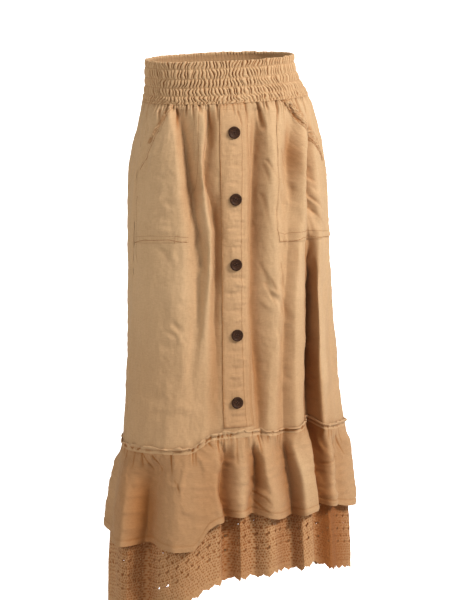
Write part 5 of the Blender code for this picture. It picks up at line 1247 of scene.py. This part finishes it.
# the sunk dots: left, top
DOTS = ((0, 1), (5, 1), (10, 1), (15, 1), (2, 5), (8, 4), (13, 5), (17, 6), (0, 10), (4, 10), (15, 10),
        (2, 15), (8, 15), (12, 15), (17, 14), (0, 19), (5, 19), (12, 19))
CHART = np.ones((TALL, WIDE)); BACK_CHART = np.ones((TALL, WIDE)); DOT_CHART = np.zeros((TALL, WIDE))
for x, y, w, h, o in EYES:
    CHART[y:y+h, x:x+w] = -o
    BACK_CHART[y + h//2, x:x+w] = -0.6
for x, y in DOTS:
    for dx, dy, v in ((0, 0, 1), (1, 0, 1), (0, 1, 1), (1, 1, 1), (-1, 0, 0.25), (2, 1, 0.25), (0, -1, 0.25), (1, 2, 0.25)):
        DOT_CHART[(y + dy) % TALL, (x + dx) % WIDE] = max(v, DOT_CHART[(y + dy) % TALL, (x + dx) % WIDE])


def lace_relief(i, j, cell):
    """a cord raised round each pair of eyes, petalled, in millimetres, at cell numbers (column i, row j)"""
    x = np.mod(i, WIDE) - 9.5; y = np.mod(j, TALL) - 10.0
    r = np.hypot(x, y)*cell; petal = np.cos(8*np.arctan2(y, x))
    return 0.55*np.exp(-((r - 5.6 - 0.5*petal)/0.9)**2) + 0.30*np.exp(-((r - 9.3)/0.8)**2)


def polygons_from(F):
    """fill the cells of a grid of heights where the height is above zero; returns per-point blends and polygons"""
    R, K = F.shape
    solid = F > 0
    idx = np.arange(R*K).reshape(R, K)
    # crossing points on the edges
    def cross(a, b, fa, fb):
        m = (fa > 0) != (fb > 0)
        t = np.where(m, fa/np.where(fa == fb, 1, fa - fb), 0)
        return m, t
    mh, th = cross(idx[:, :-1], idx[:, 1:], F[:, :-1], F[:, 1:])
    mv, tv = cross(idx[:-1], idx[1:], F[:-1], F[1:])
    nh = np.full(mh.shape, -1); nv = np.full(mv.shape, -1)
    base = R*K
    nh[mh] = base + np.arange(mh.sum()); nv[mv] = base + mh.sum() + np.arange(mv.sum())
    ends = np.concatenate([np.stack([idx[:, :-1][mh], idx[:, 1:][mh]], 1), np.stack([idx[:-1][mv], idx[1:][mv]], 1)])
    share = np.concatenate([th[mh], tv[mv]])
    a, b, c, d = idx[:-1, :-1], idx[:-1, 1:], idx[1:, 1:], idx[1:, :-1]
    ab, cd, da, bc = nh[:-1], nh[1:], nv[:, :-1], nv[:, 1:]
    case = solid[:-1, :-1]*1 + solid[:-1, 1:]*2 + solid[1:, 1:]*4 + solid[1:, :-1]*8
    table = {1: ((a, ab, da),), 2: ((b, bc, ab),), 3: ((a, b, bc, da),), 4: ((c, cd, bc),), 5: ((a, ab, bc, c, cd, da),),
             6: ((b, c, cd, ab),), 7: ((a, b, c, cd, da),), 8: ((d, da, cd),), 9: ((a, ab, cd, d),), 10: ((b, bc, cd, d, da, ab),),
             11: ((a, b, bc, cd, d),), 12: ((c, d, da, bc),), 13: ((a, ab, bc, c, d),), 14: ((b, c, d, da, ab),), 15: ((a, b, c, d),)}
    polys = {}
    for k, group in table.items():
        m = case == k
        if m.any():
            for g in group:
                f = np.stack([q[m] for q in g], 1)[:, ::-1]
                polys.setdefault(f.shape[1], []).append(f)
    return ends, share, [np.concatenate(v) for v in polys.values()]


def lace_length(u0, u1, n=1600):
    u = np.linspace(u0, u1, n)
    s = round_line(LACE_HEM, u) - 45
    P = layer("lace", u, s)
    return u, np.concatenate([[0], np.cumsum(np.linalg.norm(np.diff(P, axis=0), axis=1))])


LACE_OFF = -2.65


# the lace's own soft hang below the flounce: turn, half width in turns, how far out
LACE_HANG = ((-0.150, 0.030, -4.5), (-0.112, 0.016, 3.0), (-0.072, 0.026, 3.5), (-0.010, 0.024, -5.0), (0.034, 0.013, 3.5), (0.062, 0.018, -3.5),
             (0.150, 0.014, -3.0), (0.182, 0.018, 3.0), (0.215, 0.014, -2.5), (0.300, 0.022, 3.0), (0.352, 0.020, -4.0), (0.405, 0.024, 3.5), (0.455, 0.020, -4.0),
             (0.512, 0.026, 3.5), (0.570, 0.022, -4.0), (0.622, 0.024, 3.5), (0.680, 0.020, -3.5), (0.735, 0.022, 3.0))


def lace_hang(u):
    out = np.zeros(u.shape)
    for t, w, d in LACE_HANG:
        out += d*bell(near(u, t)/w)
    return out


def lace_surface(u, s, relief):
    y = round_line(LACE_HEM, u) - s
    hang = step((s - round_line(HEM, u) + 20.0)/30.0)*lace_hang(u)
    g = 1250.0
    off = LACE_OFF + hang + relief + 0.8*noise(u*70, s/50.0, 61, 70) + 0.45*noise(u*150, s/22.0, 62, 150)
    off += 0.7*noise(u*110, s/30.0, 63, 110)*np.exp(-np.maximum(y, 0)/22.0)
    return surface("lace", u, s, off)


def make_lace(name, u0, u1, first_cell, chart, cell, *nodes):
    u_at, x_at = lace_length(u0, u1)
    repeats = max(1, round(x_at[-1]/(cell*WIDE)))
    K = repeats*WIDE + 1
    x = np.linspace(0, x_at[-1], K)
    u = np.interp(x, x_at, u_at)
    hem = round_line(LACE_HEM, u); top = round_line(HEM, u) - 20.0
    R = int(math.ceil(((hem - top).max() + 6)/cell)) + 1
    j = np.arange(R)[:, None]; i = np.arange(K)[None] + first_cell
    low = 5.0                                                  # the points reach this far below the hem line
    s = hem[None] + low - j*cell
    U = np.broadcast_to(u[None], s.shape).copy()
    F = chart[np.mod(j - 14, TALL), np.mod(i, WIDE)].copy()
    dots = DOT_CHART[np.mod(j - 14, TALL), np.mod(i, WIDE)].copy()
    # close work along the edge: what would be a hole is only a sunk dot
    dots = np.where((j < 46) & (F < 0), 1.0, dots); F = np.where(j < 46, 1.0, F)
    dots[:13] = 0.0
    # the pointed edge, one point of three small scallops to a repeat, and two rows of sunk dots above it
    f = np.mod(i, WIDE)/WIDE
    tooth = 6.2*np.abs(2*f - 1)**0.9 + 1.0*(1 - np.abs(np.sin(3*np.pi*f)))     # millimetres above the lowest point
    edge = j*cell - tooth - 0.35
    rowa = np.abs(j - np.round((tooth + 4.2)/cell)) < 0.8
    dots[rowa & (np.mod(i, 3) == 1)] = 0.8
    rowb = np.abs(j - np.round((tooth*0.45 + 9.4)/cell)) < 0.8
    dots[rowb & (np.mod(i, 5) < 2)] = 0.9
    # painted shade round the rim of each hole
    rim = np.zeros(F.shape)
    hole = F < 0
    for a, b, w in ((0, 1, 0.8), (1, 0, 0.8), (0, -1, 0.8), (-1, 0, 0.8), (1, 1, 0.4), (1, -1, 0.4), (-1, 1, 0.4), (-1, -1, 0.4), (0, 0, 1.0)):
        rim = np.maximum(rim, w*np.roll(hole, (a, b), (0, 1)))
    F = np.minimum(F, edge/cell*1.0)
    F[np.abs(F) < 1e-3] = 1e-3
    # a plain selvedge where it reaches the end of the piece
    F[:, [0, -1]] = np.where(edge[:, [0, -1]] > 0, 1.0, F[:, [0, -1]])
    keep_rows = s > (top[None] - cell)
    relief = lace_relief(i + 0*j, j - 14 + 0*i, cell)*step((j - 12)/3.0) + 0.25*step((13 - j)/2.0)*(0.5 + 0.5*np.cos(2*np.pi*(j*cell - tooth)/3.4)) - 0.45*dots
    P, N = lace_surface(U, s, relief)
    F = np.where(keep_rows, F, -1.0)
    F[:, :][~keep_rows] = -1.0
    ends, share, polys = polygons_from(F)
    flat = P.reshape(-1, 3)
    cut = flat[ends[:, 0]]*(1 - share[:, None]) + flat[ends[:, 1]]*share[:, None]
    V = np.concatenate([flat, cut])
    # painted shade on the lace: fold occlusion, the hang, a dark band round turn 0.175, under the flounce, in the sunk
    # dots and round the holes; the raised cords get less
    low = 0.80*fold_occlusion_at("lace", U, s) + 0.06*np.maximum(-lace_hang(U), -1.0) + 0.95*bell(near(U, 0.175)/0.055)
    painted_shade_amount = (low + 0.7*np.exp(-np.maximum(s - top[None] - 18, 0)/7.0) + (0.75 + 0.75*np.clip(low, 0, 1))*dots + 1.1*rim - 0.2*relief).ravel()
    painted_shade_amount = np.concatenate([painted_shade_amount, painted_shade_amount[ends[:, 0]]*(1 - share) + painted_shade_amount[ends[:, 1]]*share])
    uvg = np.stack([np.broadcast_to(x[None]*MM, s.shape), -s*MM], -1).reshape(-1, 2)
    uvc = uvg[ends[:, 0]]*(1 - share[:, None]) + uvg[ends[:, 1]]*share[:, None]
    UV = np.concatenate([uvg, uvc])
    # the plain upper part, behind the flounce, one coarse sheet
    cols = np.arange(0, K, 4); rows = 13
    uu = u[cols]; seam = round_line(SEAM, uu) + 6.5
    t = np.linspace(0, 1, rows)[:, None]
    ss = seam[None]*(1-t) + (top[cols][None] + 1.5)*t
    UU = np.broadcast_to(uu[None], ss.shape)
    P2, N2 = lace_surface(UU, ss, np.full(ss.shape, -0.3))
    base = len(V)
    # the hidden upper sheet gets an even painted shade
    V = np.concatenate([V, P2.reshape(-1, 3)]); painted_shade_amount = np.concatenate([painted_shade_amount, np.full(ss.size, 0.8)])
    UV = np.concatenate([UV, np.stack([np.broadcast_to(x[cols][None]*MM, ss.shape), -ss*MM], -1).reshape(-1, 2)])
    polys.append(grid_faces(rows, len(cols)) + base)
    used = np.zeros(len(V), bool)
    for p in polys:
        used[p.ravel()] = True
    new = np.cumsum(used) - 1
    polys = [new[p] for p in polys]
    ob = mesh_object(name, V[used], polys, UV[used], LACE, painted_shade_and_glow=painted_shade_amount[used])
    keep(ob, "cotton_lace", *nodes)
    return ob


# ================================================================ the buttons
def make_button(name, turn, down, spin):
    c = skin("body", np.array([turn]), np.array([float(down)]), 2.55)[0]
    o = skin("body", np.array([turn]), np.array([float(down)]), 3.55)[0]
    n = Vector(o - c).normalized()
    r = 10.2
    # half section: from the back's middle round the rim to the dished front's middle
    prof = [(0.0, 0.0), (5.0, 0.0), (8.6, 0.25), (9.7, 0.7), (10.2, 1.5), (10.15, 2.3), (9.75, 3.05), (9.1, 3.5), (8.3, 3.62), (7.6, 3.42), (7.05, 2.95), (6.6, 2.55), (5.6, 2.32), (3.6, 2.15), (2.0, 2.1), (0.0, 2.1)]
    bm = bmesh.new()
    prev = None; first = None; seg = 56
    rings = []
    for x, z in prof:
        if x == 0:
            rings.append([bm.verts.new((0, 0, z))])
        else:
            rings.append([bm.verts.new((x*math.cos(2*math.pi*k/seg), x*math.sin(2*math.pi*k/seg), z)) for k in range(seg)])
    for A, B in zip(rings[:-1], rings[1:]):
        for k in range(seg):
            k2 = (k+1) % seg
            if len(A) == 1:
                bm.faces.new((A[0], B[k2], B[k]))
            elif len(B) == 1:
                bm.faces.new((A[k], A[k2], B[0]))
            else:
                bm.faces.new((A[k], A[k2], B[k2], B[k]))
    bmesh.ops.recalc_face_normals(bm, faces=bm.faces[:])
    me = bpy.data.meshes.new(name); bm.to_mesh(me); bm.free()
    ob = bpy.data.objects.new(name, me); bpy.context.collection.objects.link(ob)
    cut = bmesh.new()
    for k in range(4):
        a = math.radians(45 + 90*k)
        bmesh.ops.create_cone(cut, cap_ends=True, segments=14, radius1=1.05, radius2=1.05, depth=9,
                              matrix=Matrix.Translation((2.35*math.cos(a), 2.35*math.sin(a), 1.5)))
    cm = bpy.data.meshes.new(name + "_cut"); cut.to_mesh(cm); cut.free()
    co = bpy.data.objects.new(name + "_cut", cm); bpy.context.collection.objects.link(co)
    mod = ob.modifiers.new("holes", "BOOLEAN"); mod.object = co; mod.operation = "DIFFERENCE"; mod.solver = "EXACT"
    dg = bpy.context.evaluated_depsgraph_get(); done = bpy.data.meshes.new_from_object(ob.evaluated_get(dg))
    bpy.data.objects.remove(co, do_unlink=True); bpy.data.objects.remove(ob, do_unlink=True)
    # turned to face along the cloth's outward direction
    z = n; up = Vector((0, 0, 1)); xax = up.cross(z).normalized(); yax = z.cross(xax)
    M = Matrix((xax, yax, z)).transposed().to_4x4() @ Matrix.Rotation(math.radians(spin), 4, "Z")
    T = Matrix.Translation(Vector(c)*MM) @ M @ Matrix.Scale(MM, 4)
    done.transform(T)
    ob = bpy.data.objects.new(name + "_horn", done); bpy.context.collection.objects.link(ob)
    done.materials.clear(); done.materials.append(HORN)
    for p in done.polygons:
        p.use_smooth = True
    done.set_sharp_from_angle(angle=math.radians(50))
    keep(ob, "button_horn", name)
    # two bars of thread through the holes
    runs = []
    for sgn in (-1, 1):
        for d in (-0.28, 0.0, 0.28):
            q = []
            for t in np.linspace(-1, 1, 9):
                q.append((2.35*math.cos(math.radians(45))*sgn + d*1.3, 1.95*t, 2.05 + 0.75*(1 - t*t)))
            q = [T @ Vector(p) for p in q]
            P = np.array([[p.x, p.y, p.z] for p in q])/MM
            runs.append(P)
    pts, faces, base = [], [], 0
    for P in runs:
        d = np.gradient(P, axis=0); d /= np.linalg.norm(d, axis=1, keepdims=True)
        w = np.cross(d, np.array(n)); w /= np.linalg.norm(w, axis=1, keepdims=True); up2 = np.cross(w, d)
        ring = np.stack([P + 0.27*(w*math.cos(2*math.pi*k/6) + up2*math.sin(2*math.pi*k/6)) for k in range(6)], 1)
        m = len(P)
        idx = np.arange(m*6).reshape(m, 6) + base
        nxt = np.roll(idx, -1, 1)
        faces.append(np.stack([idx[:-1], nxt[:-1], nxt[1:], idx[1:]], -1).reshape(-1, 4))
        pts.append(ring.reshape(-1, 3)); base += m*6
    P = np.concatenate(pts); F = np.concatenate(faces)
    th = mesh_object(name + "_thread", P, F, np.stack([P[:, 0]*MM, P[:, 2]*MM], 1), COTTON)
    keep(th, "button_horn")


# ================================================================ make it all
FINE = 1.22
make_waistband()
LS, RS = LINE["left_seam"], LINE["right_seam"]
pl, _, _ = make_panel("front_left_cloth", LS, LINE["placket_side"] + 1, 2.3, "front_panel_left")
pr, _, _ = make_panel("front_right_cloth", LINE["placket_side"] + 1, RS, 2.3, "front_panel_right")
pb, _, _ = make_panel("back_cloth", RS, len(BODY_FOLDS), 4.2, "back_panel")

# the placket carries an even painted shade all over
ob = patch("placket_cloth", PLACKET_LEFT, PLACKET_RIGHT, 1.25, 44, 360, seed=1, extra=placket_extra, tone=0.20)
keep(ob, "skirt_cloth", "placket")
ob = patch("pocket_left_cloth", POCKET_LEFT_IN, POCKET_LEFT_OUT, 0.75, 64, 128, seed=2, pucker=0.5, extra=pocket_extra)
keep(ob, "skirt_cloth", "pocket_left")
ob = patch("pocket_right_cloth", POCKET_RIGHT_IN, POCKET_RIGHT_OUT, 1.15, 80, 132, seed=3, pucker=0.5, extra=pocket_extra)
keep(ob, "skirt_cloth", "pocket_right")
ob = patch("trim_left_cloth", TRIM_LEFT[1], TRIM_LEFT[0], 1.1, 22, 110, rim=2.0, seed=4, extra=ruched_extra(121, ((0, 1.2), (0.20, 1.3), (0.32, 0.15), (0.50, 0.2), (0.62, 1.3), (0.78, 1.0), (0.88, 0.2), (1, 0.3))), painted_lump_shade=0.50)
keep(ob, "skirt_cloth", "pocket_trim_left")
ob = patch("trim_right_cloth", TRIM_RIGHT[0], TRIM_RIGHT[1], 1.3, 30, 190, rim=2.0, seed=5, extra=ruched_extra(131, ((0, 1.2), (0.3, 0.9), (0.5, 1.2), (0.7, 0.8), (1, 0.9))), painted_lump_shade=0.50)
keep(ob, "skirt_cloth", "pocket_trim_right")

flounce = make_flounce()
make_lace("lace_front_net", -0.203, 0.240, 10, CHART, CELL, "lace_front")
make_lace("lace_back_net", 0.240, 0.797, 10, BACK_CHART, BACK_CELL, "lace_back")

# ---------------------------------------------------------------- the sewn lines of the panels
PLACKET_SEWN = [(u - 0.0130, s) for u, s in PLACKET_RIGHT]
SEWN_LINES = [
    (0.9, [(u + 0.0012, s) for u, s in PLACKET_LEFT]), (0.6, PLACKET_SEWN), (0.5, [(u + 0.0008, s) for u, s in PLACKET_RIGHT]),
    (0.3, ((-0.0367, 67), (-0.020, 67.5), (0.004, 68), (0.0175, 68))),
    (0.3, ((-0.1290, 65), (-0.105, 66), (-0.0815, 67))),
    (0.7, ((-0.0790, 62), (-0.0790, 100), (-0.0772, 184), (-0.0790, 204))), (0.35, ((-0.0850, 64), (-0.0850, 100), (-0.0832, 150))),
    (0.8, ((-0.0872, 288), (-0.119, 284), (-0.168, 288), (-0.199, 296))), (0.6, ((-0.0872, 280), (-0.1075, 277), (-0.1078, 290))), (0.25, ((-0.1075, 277), (-0.150, 279), (-0.190, 284))),
    (1.0, ((-0.1530, 100), (-0.1690, 134), (-0.1927, 171))), (0.4, ((-0.1345, 60), (-0.1425, 76), (-0.1500, 104))),
    (0.35, ((0.0885, 60), (0.0750, 110), (0.0706, 150), (0.0650, 276))), (0.7, ((0.0652, 272), (0.0698, 296))), (0.8, ((0.0698, 296), (0.0943, 300), (0.1138, 295), (0.1578, 299), (0.2152, 309), (0.236, 311))),
    (0.5, ((0.0810, 299), (0.0813, 284), (0.0665, 280))), (0.6, ((0.0813, 286), (0.1138, 284), (0.1578, 288), (0.2152, 298))),
    (1.9, ((0.1033, 58), (0.1261, 80), (0.1441, 95), (0.1784, 136), (0.2110, 172))), (0.4, ((0.1290, 78), (0.1470, 93), (0.1815, 134), (0.2135, 169))),
    (0.4, ((-0.1930, 214), (-0.1880, 330))), (0.4, ((0.2365, 60), (0.2365, 300))),
]
trees = surfaces_of([bpy.data.objects[n] for n in ("front_left_cloth", "front_right_cloth", "placket_cloth", "pocket_left_cloth", "pocket_right_cloth", "trim_left_cloth", "trim_right_cloth")])
runs = [run_on("body", line, trees, 0.5, k) for k, (strength, line) in enumerate(SEWN_LINES)]
# dark ribbons of painted shadow along the sewn lines
keep(painted_groove_shadows("panel_seam_grooves", runs, CLOTH, [strength for strength, line in SEWN_LINES]), "skirt_cloth")
keep(stitches("panel_stitches", runs, THREAD_WITH_PAINTED_SHADE, 3.0, 2.0, 0.26), "skirt_cloth")
for b in BUTTONS:
    make_button(*b)


# ================================================================ camera, light, floor
def photo_camera():
    az = math.radians(-15.0); c, s = math.cos(az), math.sin(az)
    d, xc, zc, pitch = 2.40, 0.0088, 0.040, math.atan(260/1371)
    cam = bpy.data.cameras.new("camera"); ob = bpy.data.objects.new("camera", cam); bpy.context.collection.objects.link(ob)
    ob.location = (xc*c + d*s, xc*s - d*c, zc)
    ob.rotation_euler = (math.radians(90) - pitch, 0, az)
    cam.lens = 1371/600*36; cam.sensor_width = 36; cam.clip_start = 0.05; cam.clip_end = 60
    bpy.context.scene.camera = ob
    return ob


def area_light(name, location, target, size, power, colour=(1, 1, 1), size_y=None):
    light = bpy.data.lights.new(name, "AREA"); light.energy = power; light.color = colour
    light.shape = "RECTANGLE" if size_y else "SQUARE"; light.size = size
    if size_y:
        light.size_y = size_y
    ob = bpy.data.objects.new(name, light); bpy.context.collection.objects.link(ob)
    ob.location = location
    ob.rotation_euler = (Vector(target) - Vector(location)).to_track_quat("-Z", "Y").to_euler()
    return ob


camera = photo_camera()
AZ = math.radians(-15.0)


def from_camera(right, away, up):
    """a place given as the photographer sees it: to the right, away and up from the skirt's waist"""
    c, s = math.cos(AZ), math.sin(AZ)
    return (right*c - away*s, right*s + away*c, up)


FLOOR_Z = -1.45
fm, ft, fb = new_material("pale_floor")
fb.inputs["Base Color"].default_value = (0.80, 0.79, 0.78, 1); fb.inputs["Roughness"].default_value = 0.9; fb.inputs["Specular IOR Level"].default_value = 0.1
me = bpy.data.meshes.new("floor")
bm = bmesh.new(); bmesh.ops.create_circle(bm, cap_ends=True, segments=96, radius=30.0, matrix=Matrix.Translation((0, 0, FLOOR_Z))); bm.to_mesh(me); bm.free()
floor = bpy.data.objects.new("floor", me); bpy.context.collection.objects.link(floor)
me.materials.append(fm)

# a lit white sweep lies behind and curves up far off, where it stands in no other view's way
profile = [(0.45, 0.004), (0.70, 0.004), (0.95, 0.004), (1.6, 0.004), (2.6, 0.004), (4.2, 0.004), (6.6, 0.004)] + [(6.6 + 1.4*math.sin(a), 0.004 + 1.4*(1 - math.cos(a))) for a in np.linspace(0.1, math.pi/2, 12)] + [(8.0, 2.0), (8.0, 2.8), (8.0, 3.4)]
reach = [0.60 + 0.19*(y - 0.95) for y, z in profile]
pts = np.array([[from_camera(x, y, FLOOR_Z + z) for x in (-w - 0.9, -w - 0.6, -w - 0.3, -w, 0.0, w, w + 0.3, w + 0.6, w + 0.9)] for (y, z), w in zip(profile, reach)])
glow = np.array([[0.0, 0.5, 1.0, 1.0][min(k, 3)]*np.array([0.0, 0.25, 0.75, 1.0, 1.0, 1.0, 0.75, 0.25, 0.0]) for k in range(len(profile))])
wm, wtree, wb = new_material("white_sweep")
wb.inputs["Base Color"].default_value = (0.9, 0.9, 0.9, 1); wb.inputs["Roughness"].default_value = 0.95; wb.inputs["Specular IOR Level"].default_value = 0.0
wb.inputs["Emission Color"].default_value = (1, 1, 1, 1)
lit = wtree.nodes.new("ShaderNodeAttribute"); lit.attribute_name = "painted_shade_and_glow"; wtree.links.new(lit.outputs["Fac"], wb.inputs["Emission Strength"])
sweep = mesh_object("sweep", pts, grid_faces(len(profile), 9), None, wm, True, False, painted_shade_and_glow=glow)

world = bpy.data.worlds.new("studio"); bpy.context.scene.world = world; world.use_nodes = True
wt = world.node_tree
bg = wt.nodes["Background"]
geo = wt.nodes.new("ShaderNodeTexCoord"); sep = wt.nodes.new("ShaderNodeSeparateXYZ"); wt.links.new(geo.outputs["Generated"], sep.inputs[0])
grad = ramp(wt, sep.outputs[2], ((0.0, (0.50, 0.50, 0.50)), (0.10, (0.55, 0.55, 0.55)), (0.45, (0.42, 0.42, 0.42)), (1.0, (0.34, 0.34, 0.34))))
wt.links.new(grad, bg.inputs[0]); bg.inputs[1].default_value = 1.0
area_light("key", from_camera(2.5, -1.75, 1.9), (0.03, 0.03, -0.45), 0.9, 152, (1.0, 0.985, 0.985))
area_light("fill", from_camera(-2.6, -1.9, 0.9), (0.0, 0.0, -0.45), 2.2, 38, (1.0, 0.96, 0.89))
bpy.context.scene.view_settings.view_transform = "Standard"
bpy.context.scene.view_settings.look = "None"
bpy.context.scene.view_settings.gamma = 0.85       # a studio camera's contrast

total = 0
for ob in PIECES:
    n = sum(len(p.vertices) - 2 for p in ob.data.polygons); total += n
    print("triangles", ob.name, n)
print("triangles in all", total)
